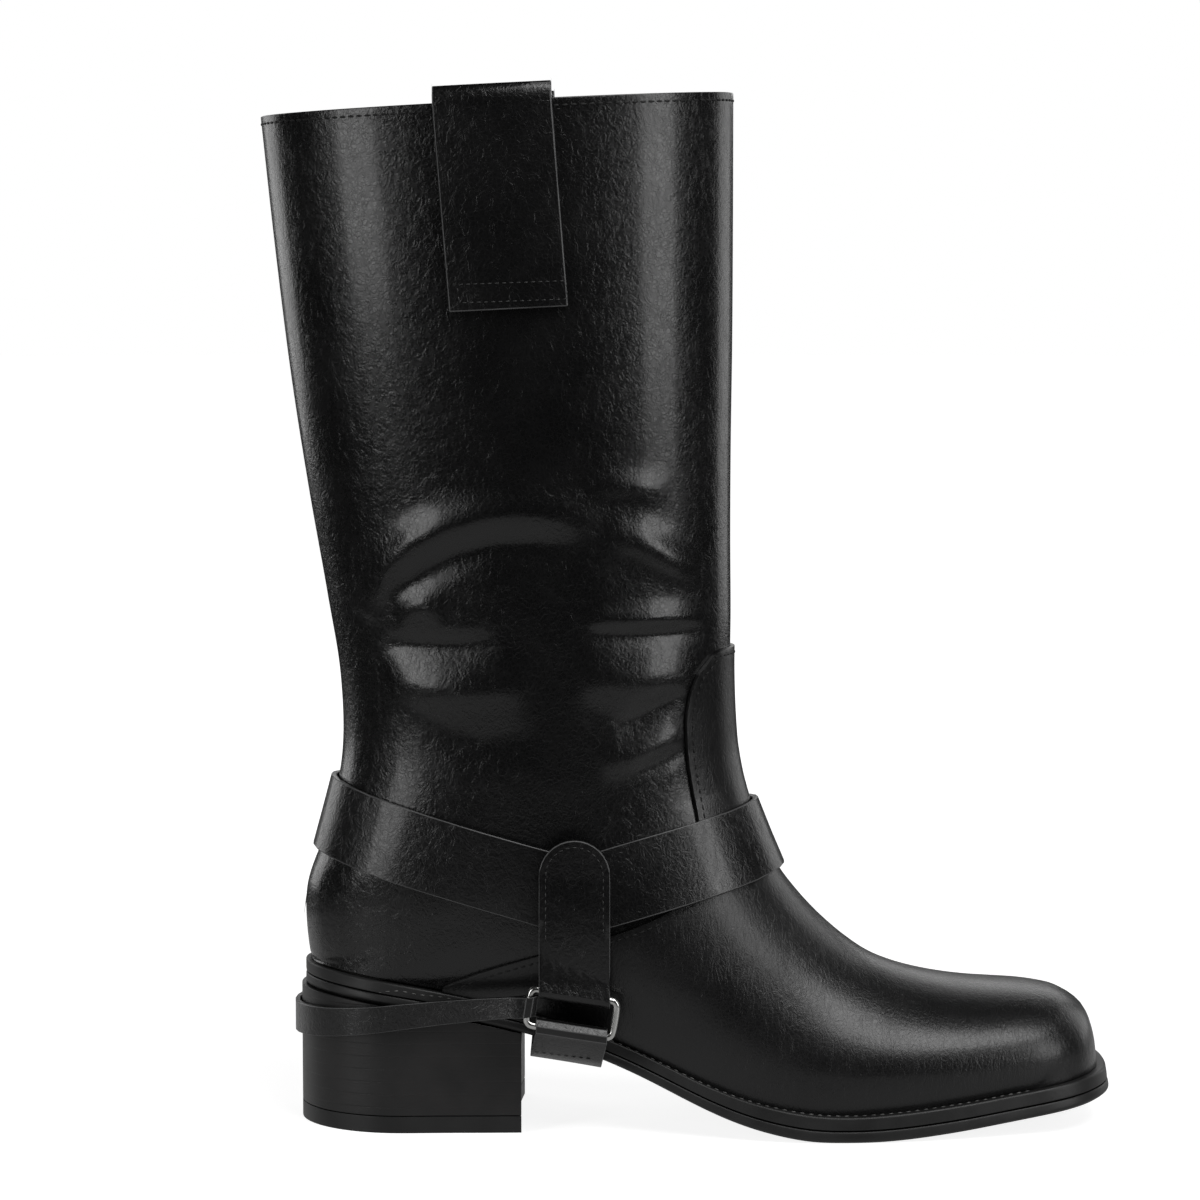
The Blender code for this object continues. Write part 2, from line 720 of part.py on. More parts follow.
def ring_centre(tree, side):
    """The middle of a ring. Both rings hang equally far out."""
    centre = harness_point()
    over = 2 * SEAT_GAP + VAMP_THICKNESS + STRAP_THICKNESS + SIDE_TAB_THICKNESS / 2
    rise = STRAP_WIDTH / 2
    heights = (centre.z - rise, centre.z, centre.z + rise)
    hang = max(outermost(tree, way, z, over) for way in (-1, 1) for z in heights)
    return Vector((centre.x - RING_BACK, side * hang, centre.z - RING_DROP))


def add_ring(tree, side, name, finish, collection):
    """A rectangular ring of round wire, tilted a little towards the toe."""
    half_x, half_z = (RING_LENGTH - RING_WIRE) / 2, (RING_HEIGHT - RING_WIRE) / 2
    corner = RING_WIRE * RING_CORNER
    path = []
    for turn, (sx, sz) in enumerate(((1, 1), (-1, 1), (-1, -1), (1, -1))):
        for k in range(4):
            angle = math.pi / 2 * (turn + k / 3)
            cx, cz = sx * (half_x - corner), sz * (half_z - corner)
            path.append((cx + corner * math.cos(angle), cz + corner * math.sin(angle)))
    rings = []
    count = len(path)
    for i, (x, z) in enumerate(path):
        before, after = path[i - 1], path[(i + 1) % count]
        along = Vector((after[0] - before[0], 0, after[1] - before[1])).normalized()
        out = along.cross(Vector((0, 1, 0)))
        across = Vector((0, 1, 0))
        circle = [math.tau * k / CIRCLE_STEPS for k in range(CIRCLE_STEPS)]
        spokes = [out * math.cos(a) + across * math.sin(a) for a in circle]
        rings.append([Vector((x, 0, z)) + spoke * RING_WIRE / 2 for spoke in spokes])
    made = mesh_object(name, loft(rings, closed=True), finish, collection)
    made.location = ring_centre(tree, side)
    made.rotation_euler = (0, RING_TILT, 0)
    return made


def add_side_tab(tree, side, name, finish, collection, cutters):
    """The double tab that hangs over the straps and holds the ring's upper bar in its fold."""
    line = tab_line(tree, side)
    centre = ring_centre(tree, side) + Vector((RING_BACK, 0, 0))
    hang = abs(centre.y)
    bar = centre.z + (RING_HEIGHT - RING_WIRE) / 2 / math.cos(RING_TILT)
    half = SIDE_TAB_THICKNESS / 2
    fold = RING_WIRE / 2 + WIRE_GAP + LOOP_LEATHER
    outer = [(y + half, z) for y, z in line]
    inner = [(y - half, z) for y, z in line]
    angles = [-math.pi * k / 10 for k in range(11)]
    turn = [(hang + fold * math.cos(a), bar + fold * math.sin(a)) for a in angles]
    neck = bar + fold * 1.5
    outline = outer + [(hang + half, neck)] + turn + [(hang - half, neck)] + inner[::-1]
    width = SIDE_TAB_WIDTH / 2
    tilt = math.tan(RING_TILT)
    top = line[0][1]
    rings = []
    for k in range(-4, 5):
        x = width * math.sin(math.pi / 2 * k / 4)
        drop = width - math.sqrt(max(0.0, width**2 - x**2))
        ring = []
        for y, z in outline:
            lean = eased(bar + 3 * fold, bar + fold, z)
            if z > top - width:
                z = top - width + (z - (top - width)) * (width - drop) / width
            ring.append((centre.x + x, side * y, z - x * tilt * lean))
        rings.append(ring)
    made = mesh_object(name, loft(rings), finish, collection)
    bar_middle = Vector((centre.x, side * hang, bar))
    bore(made, bar_middle, math.pi / 2 + RING_TILT, width * 3, cutters)


def bore(made, middle, turn, length, cutters):
    """Cuts a round hole through a strap's folded end, as wide as the ring's wire and its gap."""
    bm = bmesh.new()
    radius = RING_WIRE / 2 + WIRE_GAP
    bmesh.ops.create_cone(bm, cap_ends=True, segments=12, radius1=radius, radius2=radius, depth=length)
    bmesh.ops.rotate(bm, verts=bm.verts, matrix=Matrix.Rotation(turn, 3, "Y"))
    name = f"{made.name}_hole_{len(cutters.objects)}"
    cutter = mesh_object(name, bm, made.data.materials[0], cutters, smooth=False)
    cutter.location = middle
    cutter.display_type = "WIRE"
    cutter.hide_render = True
    cut = made.modifiers.new("fold", "BOOLEAN")
    cut.operation = "DIFFERENCE"
    cut.object = cutter


def eyed_band(path, thickness, eye_radius):
    """The outline of a band along a path, with a round eye about each of the path's two ends."""
    points = [Vector(p) for p in path]
    left, right = [], []
    for i in range(1, len(points) - 1):
        along = (points[i + 1] - points[i - 1]).normalized()
        out = Vector((-along.y, along.x)) * thickness / 2
        left.append(points[i] + out)
        right.append(points[i] - out)
    ends = []
    for end, near in ((points[-1], points[-2]), (points[0], points[1])):
        along = end - near
        facing = math.atan2(along.y, along.x)
        angles = [facing + math.radians(a) for a in (125, 90, 45, 0, -45, -90, -125)]
        ends.append([end + Vector((math.cos(a), math.sin(a))) * eye_radius for a in angles])
    return left + ends[0] + right[::-1] + ends[1]


def add_heel_strap(tree, finish, collection, cutters):
    """The narrow strap round the back of the heel, held by the back bar of each ring."""
    ring = ring_centre(tree, 1)
    reach_back = (RING_LENGTH - RING_WIRE) / 2
    back_by, up_by = reach_back * math.cos(RING_TILT), reach_back * math.sin(RING_TILT)
    bar = Vector((ring.x - back_by, ring.y, ring.z + up_by))
    back = -HEEL_OVERHANG - HEEL_STRAP_EASE - HEEL_STRAP_THICKNESS / 2
    heel_end = HEEL_ROUND * LAST_LENGTH
    half = HEEL_WIDTH / 2 - back + HEEL_STRAP_EASE / 2
    turn = [math.pi / 2 * k / 10 for k in range(11)]
    side = [(heel_end - (heel_end - back) * math.cos(a), half * math.sin(a)) for a in turn]
    leave = side[-1]
    for t in (0.3, 0.6, 0.85, 1.0):
        side.append((leave[0] + (bar.x - leave[0]) * t, leave[1] + (bar.y - leave[1]) * t**BEND_POWER))
    path = [(x, -y) for x, y in side[:0:-1]] + side
    outline = eyed_band(path, HEEL_STRAP_THICKNESS, RING_WIRE / 2 + WIRE_GAP + LOOP_LEATHER)
    low = HEEL_SEAT - HEEL_STRAP_DROP
    rings = []
    for level in (-1, 1):
        ring_points = []
        for x, y in outline:
            share = (x - back) / (bar.x - back)
            width = HEEL_STRAP_WIDTH + (HEEL_STRAP_END - HEEL_STRAP_WIDTH) * min(share, 1.0)
            up = level * width / 2
            lean = up * math.tan(RING_TILT) * eased(0.75, 1.0, share)
            ring_points.append((x + lean, y, low + (bar.z - low) * share + up))
        rings.append(ring_points)
    made = mesh_object("heel_strap", loft(rings), finish, collection)
    for y in (-bar.y, bar.y):
        bore(made, (bar.x, y, bar.z), RING_TILT, HEEL_STRAP_WIDTH * 3, cutters)


def add_arch_strap(tree, finish, collection, cutters):
    """The strap under the arch, in front of the heel, held by the lower bar of each ring."""
    ring = ring_centre(tree, 1)
    bar = ring.z - (RING_HEIGHT - RING_WIRE) / 2 / math.cos(RING_TILT)
    half = SIDE_TAB_WIDTH / 2
    eye_radius = RING_WIRE / 2 + WIRE_GAP + LOOP_LEATHER
    rings = []
    for k in range(-4, 5):
        x = ring.x + half * k / 4
        bar_z = bar - (x - ring.x) * math.tan(RING_TILT)
        edge = foot_half_width(x) + WELT_MARGIN / 2 + EDGE_FLARE
        front = ring.x + half
        flat = sole_bottom(front) - GAP - ARCH_STRAP_THICKNESS / 2 + (front - x) * math.tan(RING_TILT)
        low = bar_z - (bar_z - flat) * ARCH_BEND
        centre = drift(x)
        near = edge + SEAT_GAP + ARCH_STRAP_THICKNESS / 2
        lines = []
        for way in (-1, 1):
            turn_y = centre + way * near
            lines.append([
                (turn_y - way * ARCH_TUCK, flat),
                (turn_y, flat + ARCH_ROUND),
                ((turn_y + way * ring.y) / 2, low),
                (way * ring.y, bar_z),
            ])
        path = lines[0][::-1] + [(centre, flat)] + lines[1]
        outline = eyed_band(path, ARCH_STRAP_THICKNESS, eye_radius)
        leans = [ARCH_LEAN * eased(0.0, 1.0, (bar_z - z) / (bar_z - flat)) for _, z in outline]
        rings.append([(x - lean, y, z) for lean, (y, z) in zip(leans, outline)])
    made = mesh_object("arch_strap", loft(rings), finish, collection)
    for y in (-ring.y, ring.y):
        bore(made, (ring.x, y, bar), math.pi / 2 + RING_TILT, half * 4, cutters)


def collar_height(x):
    """Height of the upper's top edge."""
    front, back = Section(0).crown, Section(0).base
    return back.z + (front.z - back.z) * (x - back.x) / (front.x - back.x)


def add_pull_tab(tree, side, name, finish, collection):
    """The pull tab that loops over the collar."""
    rings = []
    for k in range(-3, 4):
        across = PULL_WIDTH / 2 * k / 3
        middle = PULL_PLACE * LAST_LENGTH + across
        top = collar_height(middle)

        def skin(z, stand_off):
            x = middle + (top - z) * math.tan(PULL_LEAN)
            start = (x, 0, min(z, collar_height(x) - COLLAR_BITE))
            hit = on_form(tree, start, (0, side, 0), stand_off)
            return Vector((x, abs(hit.y), z))

        outer_heights = [top - PULL_DROP * (1 - n / 5) for n in range(6)]
        inner_heights = [top - PULL_INSIDE * n / 3 for n in range(4)]
        turn = [math.pi * n / 6 for n in range(1, 6)]
        under, over = [], []
        for line, lift in ((under, 0.0), (over, PULL_THICKNESS)):
            line += [skin(z, SEAT_GAP + lift) for z in outer_heights]
            ends = skin(top, SEAT_GAP + lift).y, skin(top, -WALL - SEAT_GAP - lift).y
            centre, radius = (ends[0] + ends[1]) / 2, (ends[0] - ends[1]) / 2
            tall = PULL_RISE - PULL_THICKNESS + lift
            line += [Vector((middle, centre + radius * math.cos(a), top + tall * math.sin(a))) for a in turn]
            line += [skin(z, -WALL - SEAT_GAP - lift) for z in inner_heights]
        ring = over + under[::-1]
        rings.append([Vector((p.x, side * p.y, p.z)) for p in ring])
    mesh_object(name, loft(rings), finish, collection)


def build():
    """Makes the boot's pieces in order."""
    clear_scene()
    scene = bpy.context.scene
    boot = bpy.data.collections.new("harness_boot")
    cutters = bpy.data.collections.new("cutters")
    scene.collection.children.link(boot)
    scene.collection.children.link(cutters)
    hanger = bpy.data.objects.new("boot", None)
    hanger.location = (-(HEEL_LENGTH / 2 - HEEL_OVERHANG), 0, 0)
    boot.objects.link(hanger)

    leather = material("black_leather", (0.012, 0.012, 0.013), 0.28)
    strap_leather = material("strap_leather", (0.014, 0.014, 0.015), 0.32)
    sole_rubber = material("sole_rubber", (0.018, 0.018, 0.019), 0.5)
    stack = material("heel_stack", (0.02, 0.02, 0.021), 0.42)
    lining = material("lining", (0.03, 0.028, 0.026), 0.8)
    nickel = material("nickel", (0.72, 0.72, 0.73), 0.25, 1.0)

    add_upper(boot, leather)
    add_vamp(boot, leather, cutters)
    add_soles(boot, sole_rubber, sole_rubber)
    add_insole(boot, lining)
    add_heel(boot, stack, sole_rubber)

    tree = dense_form()
    over_vamp = SEAT_GAP + VAMP_THICKNESS + GAP
    front = ankle_band(tree, 1, FRONT_SLOPE, over_vamp)
    mesh_object("ankle_strap_front", front, strap_leather, boot)
    back = ankle_band(tree, -1, BACK_SLOPE, SEAT_GAP)
    mesh_object("ankle_strap_back", back, strap_leather, boot)
    for side, word in ((-1, "outer"), (1, "inner")):
        add_ring(tree, side, f"ring_{word}", nickel, boot)
        add_side_tab(tree, side, f"side_tab_{word}", strap_leather, boot, cutters)
        add_pull_tab(tree, side, f"pull_tab_{word}", strap_leather, boot)
    add_heel_strap(tree, strap_leather, boot, cutters)
    add_arch_strap(tree, strap_leather, boot, cutters)


build()
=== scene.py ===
import logging
import math
from dataclasses import dataclass, field
from enum import Enum

import bmesh
import bpy
import numpy as np
from mathutils import Matrix, Vector
from mathutils.bvhtree import BVHTree


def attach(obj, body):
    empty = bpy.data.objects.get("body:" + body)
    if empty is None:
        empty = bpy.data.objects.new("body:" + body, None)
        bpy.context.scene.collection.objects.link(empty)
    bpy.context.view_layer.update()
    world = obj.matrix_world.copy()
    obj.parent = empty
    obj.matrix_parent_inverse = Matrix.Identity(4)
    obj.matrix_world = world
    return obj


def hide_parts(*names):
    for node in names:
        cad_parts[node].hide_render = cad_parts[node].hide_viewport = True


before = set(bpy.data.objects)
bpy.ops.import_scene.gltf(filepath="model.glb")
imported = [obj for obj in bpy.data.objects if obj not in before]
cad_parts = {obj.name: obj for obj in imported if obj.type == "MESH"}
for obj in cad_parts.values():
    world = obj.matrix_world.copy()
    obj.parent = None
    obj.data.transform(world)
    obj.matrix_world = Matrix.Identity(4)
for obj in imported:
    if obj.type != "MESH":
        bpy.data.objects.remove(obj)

LOG = logging.getLogger("boot")
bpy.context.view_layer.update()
MM = 0.001

# Distances under which two points are one: in a CAD node, on one surface, and after a cut
SAME_POINT = 0.001 * MM
TOUCHING = 0.01 * MM
CUT_CRUMB = 0.02 * MM

# Degrees up to which two triangles of a CAD node become one face: between them, and off a square
NEARLY_FLAT = 25
NEARLY_SQUARE = 70


class Side(Enum):
    """The boot's two sides, by the sign of Y."""

    OUTER = -1
    INNER = 1


class Value:
    """A number or vector socket that can be used in Python sums."""

    def __init__(self, shader: "Shader", socket: bpy.types.NodeSocket) -> None:
        """Wraps one socket of a shader's tree."""
        self.shader = shader
        self.socket = socket

    def maths(self, operation: str, *others: object) -> "Value":
        """Adds a Math node on this value.

        Args:
            operation: the node's operation.
            others: further inputs, values or numbers.

        Returns:
            The node's result.
        """
        sockets = dict(enumerate((self, *others)))
        return self.shader.node("ShaderNodeMath", {"operation": operation}, sockets)[0]

    def __add__(self, other: object) -> "Value":
        """Sum."""
        return self.maths("ADD", other)

    def __radd__(self, other: object) -> "Value":
        """Sum with a number on the left."""
        return self.maths("ADD", other)

    def __sub__(self, other: object) -> "Value":
        """Difference."""
        return self.maths("SUBTRACT", other)

    def __rsub__(self, other: object) -> "Value":
        """Difference with a number on the left."""
        return self.maths("MULTIPLY", -1.0) + other

    def __mul__(self, other: object) -> "Value":
        """Product."""
        return self.maths("MULTIPLY", other)

    def __truediv__(self, other: object) -> "Value":
        """Quotient."""
        return self.maths("DIVIDE", other)

    def between(self, low: float, high: float) -> "Value":
        """A smooth step from 0 at low to 1 at high.

        Args:
            low: where the step starts.
            high: where it ends.

        Returns:
            The step, between 0 and 1.
        """
        settings = {"interpolation_type": "SMOOTHSTEP"}
        sockets = {"Value": self, "From Min": low, "From Max": high}
        return self.shader.node("ShaderNodeMapRange", settings, sockets)[0]


class Shader:
    """A material's node tree and the short ways to fill it."""

    def __init__(self, name: str) -> None:
        """Starts a material with a Principled shader.

        Args:
            name: the material's name.
        """
        self.material = bpy.data.materials.new(name)
        self.material.use_nodes = True
        self.tree = self.material.node_tree
        self.principled = self.tree.nodes["Principled BSDF"]

    def node(self, kind: str, settings: dict, sockets: dict) -> list[Value]:
        """Makes any node.

        Args:
            kind: the node's type.
            settings: properties, set before the sockets.
            sockets: values or links, by name or index.

        Returns:
            The node's outputs.
        """
        made = self.tree.nodes.new(kind)
        for key, value in settings.items():
            setattr(made, key, value)
        for key, value in sockets.items():
            if isinstance(value, Value):
                self.tree.links.new(value.socket, made.inputs[key])
            else:
                made.inputs[key].default_value = value
        return [Value(self, socket) for socket in made.outputs]

    def place(self) -> Value:
        """The point's place on the object."""
        return self.node("ShaderNodeTexCoord", {}, {})[3]

    def mapped(self, place: Value, scale: tuple, turn: tuple = (0.0, 0.0, 0.0)) -> Value:
        """The place turned and scaled."""
        return self.node("ShaderNodeMapping", {}, {"Vector": place, "Scale": scale, "Rotation": turn})[0]

    def noise(self, place: Value, size: float, detail: float = 2.0, distortion: float = 0.0) -> Value:
        """Noise whose patches are about size across."""
        sockets = {"Vector": place, "Scale": 1 / size, "Detail": detail, "Distortion": distortion}
        return self.node("ShaderNodeTexNoise", {}, sockets)[0]

    def cells(self, place: Value, size: float) -> Value:
        """Distance to the edges of cells about size across."""
        settings = {"feature": "DISTANCE_TO_EDGE"}
        return self.node("ShaderNodeTexVoronoi", settings, {"Vector": place, "Scale": 1 / size})[0]

    def axis(self, place: Value, index: int) -> Value:
        """One coordinate of a place."""
        return self.node("ShaderNodeSeparateXYZ", {}, {0: place})[index]

    def mixed(self, factor: Value, low: tuple, high: tuple) -> Value:
        """A colour between two colours."""
        made = self.node("ShaderNodeMix", {"data_type": "RGBA"}, {0: factor, 6: (*low, 1.0), 7: (*high, 1.0)})
        return made[2]

    def bump(self, height: Value, distance: float) -> None:
        """Lays a height over the surface."""
        made = self.node("ShaderNodeBump", {}, {"Strength": 1.0, "Distance": distance, "Height": height})
        self.feed("Normal", made[0])

    def feed(self, name: str, value: object) -> None:
        """Sets or links one input of the Principled shader."""
        if isinstance(value, Value):
            self.tree.links.new(value.socket, self.principled.inputs[name])
        else:
            self.principled.inputs[name].default_value = value


@dataclass(frozen=True)
class Leather:
    """Glossy black imitation leather with a fine crinkled grain.

    Args:
        name: the material's name.
        dark: colour of its darker patches.
        light: colour of its lighter patches.
        roughness: roughness of the leather itself.
        coat: weight of its clear coat.
        coat_roughness: roughness of the coat.
        grain: size of the grain.
        depth: height of the grain.
        wrinkle: height of the fine creases.
        crease: spacing of the fine creases.
        patch: size of the patches of colour and of creasing.
        haze: size of the duller patches.
        stretch: how the grain and the creases are squeezed along each axis.
        turn: angles by which they are turned.
        sharpness: how narrow the fine creases are.
        shares: parts of the grain and of its cells in the height.
        creasing: least height of the fine creases, and what the patches add to it.
        dulling: what the duller patches and the grain's valleys add to the roughness.
    """

    name: str = "black_leather"
    dark: tuple = (0.0026, 0.0026, 0.0028)
    light: tuple = (0.0050, 0.0049, 0.0051)
    roughness: float = 0.255
    coat: float = 0.32
    coat_roughness: float = 0.14
    grain: float = 1.15 * MM
    depth: float = 0.060 * MM
    wrinkle: float = 0.075 * MM
    crease: float = 3.0 * MM
    patch: float = 32 * MM
    haze: float = 18 * MM
    stretch: tuple = (1.0, 0.85, 0.80)
    turn: tuple = (0.1, 0.15, 0.1)
    sharpness: float = 7.0
    shares: tuple = (0.55, 0.30)
    creasing: tuple = (0.25, 0.9)
    dulling: tuple = (0.16, 0.06)

    def made(self) -> bpy.types.Material:
        """Builds the material.

        Returns:
            The material.
        """
        s = Shader(self.name)
        place = s.place()
        haze = s.noise(place, self.haze, 3.0)
        patch = s.noise(place, self.patch, 3.0, 0.4)
        squeezed = s.mapped(place, self.stretch, self.turn)
        wave = s.noise(squeezed, self.crease, 4.0, 1.1)
        ridge = 1.0 - (wave - 0.5).maths("ABSOLUTE") * self.sharpness
        ridge = ridge.maths("MAXIMUM", 0.0)
        fine = s.noise(squeezed, self.grain, 3.0, 0.8)
        cells = s.cells(place, self.grain * 1.3).between(0.0, 0.22)
        creases = ridge * (self.creasing[0] + patch * self.creasing[1]) * (self.wrinkle / self.depth)
        height = fine * self.shares[0] + cells * self.shares[1] + creases
        s.bump(height, self.depth)
        s.feed("Base Color", s.mixed(patch.between(0.35, 0.7), self.dark, self.light))
        dull = self.roughness + (haze - 0.5) * self.dulling[0]
        s.feed("Roughness", dull + (1.0 - cells) * self.dulling[1])
        s.feed("Coat Weight", self.coat)
        s.feed("Coat Roughness", self.coat_roughness)
        return s.material


@dataclass(frozen=True)
class Plain:
    """A finish with a soft mottle and a fine bump.

    Args:
        name: the material's name.
        dark: colour of its darker patches.
        light: colour of its lighter patches.
        roughness: its mean roughness.
        metallic: 1 for bare metal.
        grain: size of the bump.
        depth: height of the bump.
        mottle: size of the patches.
        dulling: how far the patches change the roughness.
        layer: thickness of stacked layers, or 0 for none.
        line: width of the line between two layers, as a share of a layer.
        streak: size of the streaks along the layers.
        stretch: how the streaks are squeezed along each axis.
        shares: parts of the grain, the streaks and the lines in the height of layers.
    """

    name: str
    dark: tuple
    light: tuple
    roughness: float
    metallic: float = 0.0
    grain: float = 0.8 * MM
    depth: float = 0.03 * MM
    mottle: float = 14 * MM
    dulling: float = 0.2
    layer: float = 0.0
    line: float = 0.10
    streak: float = 2.0 * MM
    stretch: tuple = (0.15, 0.15, 3.0)
    shares: tuple = (0.3, 0.25, 0.6)

    def made(self) -> bpy.types.Material:
        """Builds the material.

        Returns:
            The material.
        """
        s = Shader(self.name)
        place = s.place()
        patch = s.noise(place, self.mottle, 4.0)
        fine = s.noise(place, self.grain, 3.0)
        height = fine
        if self.layer:
            lines = (s.axis(place, 2) / self.layer).maths("FRACT")
            streak = s.noise(s.mapped(place, self.stretch), self.streak, 3.0)
            parts = (fine, streak, lines.between(0.0, self.line))
            height = parts[0] * self.shares[0] + parts[1] * self.shares[1] + parts[2] * self.shares[2]
        s.bump(height, self.depth)
        s.feed("Base Color", s.mixed(patch.between(0.3, 0.7), self.dark, self.light))
        s.feed("Roughness", self.roughness + (patch - 0.5) * self.dulling)
        s.feed("Metallic", self.metallic)
        return s.material


LEATHER = Leather()
VAMP_LEATHER = Leather(
    "vamp_leather",
    roughness=0.34,
    coat=0.30,
    coat_roughness=0.24,
    depth=0.06 * MM,
    wrinkle=0.065 * MM,
    stretch=(1.5, 0.9, 0.55),
)
STRAP_LEATHER = Leather("strap_leather", roughness=0.29, coat=0.36, depth=0.062 * MM, wrinkle=0.09 * MM)
RUBBER = Plain("sole_rubber", (0.010, 0.010, 0.010), (0.018, 0.018, 0.018), 0.46)
HEEL_STACK = Plain(
    "heel_layers", (0.012, 0.012, 0.012), (0.020, 0.019, 0.019), 0.42, layer=4.2 * MM, depth=0.10 * MM
)
WIRE = Plain("bright_wire", (0.62, 0.62, 0.60), (0.74, 0.74, 0.73), 0.20, metallic=1.0, depth=0.01 * MM)
THREAD = Plain("black_thread", (0.0012, 0.0012, 0.0012), (0.003, 0.003, 0.003), 0.65, grain=0.3 * MM)
TAB_THREAD = Plain("tab_thread", (0.020, 0.020, 0.020), (0.045, 0.045, 0.045), 0.40, grain=0.3 * MM)
WELT_THREAD = Plain("welt_thread", (0.060, 0.060, 0.058), (0.160, 0.158, 0.155), 0.5, grain=0.3 * MM)
# Grey of the rounded cut edges: partly the leather's lighter cut, partly a painted highlight for the thin
# light line that these edges catch.
CUT_EDGE_AND_HIGHLIGHT = Plain("cut_edge", (0.070, 0.070, 0.071), (0.115, 0.115, 0.116), 0.40, grain=0.5 * MM)
LINING = Plain(
    "lining", (0.020, 0.019, 0.018), (0.034, 0.032, 0.030), 0.85, grain=0.5 * MM, depth=0.08 * MM
)
INSOLE = Plain(
    "insole_cover", (0.018, 0.017, 0.016), (0.030, 0.028, 0.026), 0.7, grain=0.6 * MM, depth=0.05 * MM
)


MADE: dict[str, bpy.types.Material] = {}


def material_of(finish: object) -> bpy.types.Material:
    """The finish's material, made once."""
    if finish.name not in MADE:
        MADE[finish.name] = finish.made()
    return MADE[finish.name]


def keep(
    name: str, bm: bmesh.types.BMesh, finish: object, *nodes: str, sharp: float = 50.0
) -> bpy.types.Object:
    """Stores a mesh as a finished piece.

    Args:
        name: the piece's name.
        bm: its mesh, which is freed.
        finish: its material's dataclass.
        nodes: the CAD nodes that it stands for.
        sharp: angle in degrees past which an edge stays sharp.

    Returns:
        The piece.
    """
    mesh = bpy.data.meshes.new(name)
    bm.to_mesh(mesh)
    bm.free()
    mesh.shade_smooth()
    mesh.set_sharp_from_angle(angle=math.radians(sharp))
    mesh.materials.append(material_of(finish))
    piece = bpy.data.objects.new(name, mesh)
    bpy.context.scene.collection.objects.link(piece)
    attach(piece, "root")
    if nodes:
        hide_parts(*nodes)
    LOG.info("%s: %d faces", name, len(mesh.polygons))
    return piece


def node_copy(node: str) -> bmesh.types.BMesh:
    """A CAD node's mesh with its loose triangles joined.

    Args:
        node: the node's name.

    Returns:
        The mesh, which the caller frees.
    """
    bm = bmesh.new()
    bm.from_mesh(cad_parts[node].data)
    bmesh.ops.remove_doubles(bm, verts=bm.verts, dist=SAME_POINT)
    bm.normal_update()
    return bm


def lengths(a: np.ndarray, b: np.ndarray) -> np.ndarray:
    """Spacing used by the curve, gentle where points lie unevenly."""
    return np.maximum(np.linalg.norm(b - a, axis=-1, keepdims=True), 1e-5) ** 0.5


def finer(points: np.ndarray, steps: list[int], closed: np.ndarray) -> np.ndarray:
    """Smooth curves through rows of points.

    Args:
        points: rows along axis 0, each an array of points.
        steps: how many parts each stretch between two rows takes.
        closed: for each column, whether its curve is closed on itself.

    Returns:
        The finer rows.
    """
    closed = closed[:, None]
    first = np.where(closed, points[-2], 2 * points[0] - points[1])
    last = np.where(closed, points[1], 2 * points[-1] - points[-2])
    padded = np.concatenate([first[None], points, last[None]])
    rows = []
    for k, count in enumerate(steps):
        a, b, c, d = padded[k : k + 4]
        ab, bc, cd = lengths(a, b), lengths(b, c), lengths(c, d)
        start = ((b - a) / ab - (c - a) / (ab + bc) + (c - b) / bc) * bc
        end = ((c - b) / bc - (d - b) / (bc + cd) + (d - c) / cd) * bc
        for i in range(count):
            t = i / count
            rows.append(
                (2 * t**3 - 3 * t**2 + 1) * b
                + (t**3 - 2 * t**2 + t) * start
                + (3 * t**2 - 2 * t**3) * c
                + (t**3 - t**2) * end
            )
    rows.append(points[-1])
    return np.array(rows)


@dataclass(frozen=True)
class Fold:
    """A soft ridge or trough of the leather, laid along a line seen from the side.

    Args:
        line: places along the boot and heights over the floor, in millimetres.
        width: half width in millimetres.
        depth: height in millimetres, below 0 for a trough.
        sides: which sides of the boot it lies on.
        taper: how early it thins towards its ends: 0 is not at all.
    """

    line: tuple
    width: float
    depth: float
    sides: tuple = (Side.OUTER,)
    taper: float = 0.6

    def at(self, points: np.ndarray) -> np.ndarray:
        """How far the fold moves each point.

        Args:
            points: places in metres, in any array.

        Returns:
            The moves outwards, in metres.
        """
        flat = points[..., [0, 2]] / MM
        nearest = np.full(flat.shape[:-1], 1e9)
        along = np.zeros(flat.shape[:-1])
        line = np.array(self.line, float)
        parts = len(line) - 1
        for k in range(parts):
            a, b = line[k], line[k + 1]
            share = np.clip(((flat - a) @ (b - a)) / ((b - a) @ (b - a)), 0, 1)
            away = np.linalg.norm(flat - a - share[..., None] * (b - a), axis=-1)
            closer = away < nearest
            nearest = np.where(closer, away, nearest)
            along = np.where(closer, (k + share) / parts, along)
        ends = np.sin(np.pi * np.clip(along, 0, 1)) ** self.taper
        shape = np.exp(-((nearest / self.width) ** 2)) * ends
        chosen = np.zeros(flat.shape[:-1])
        for side in self.sides:
            chosen = np.maximum(chosen, (points[..., 1] * side.value > 0) * 1.0)
        return shape * self.depth * MM * chosen


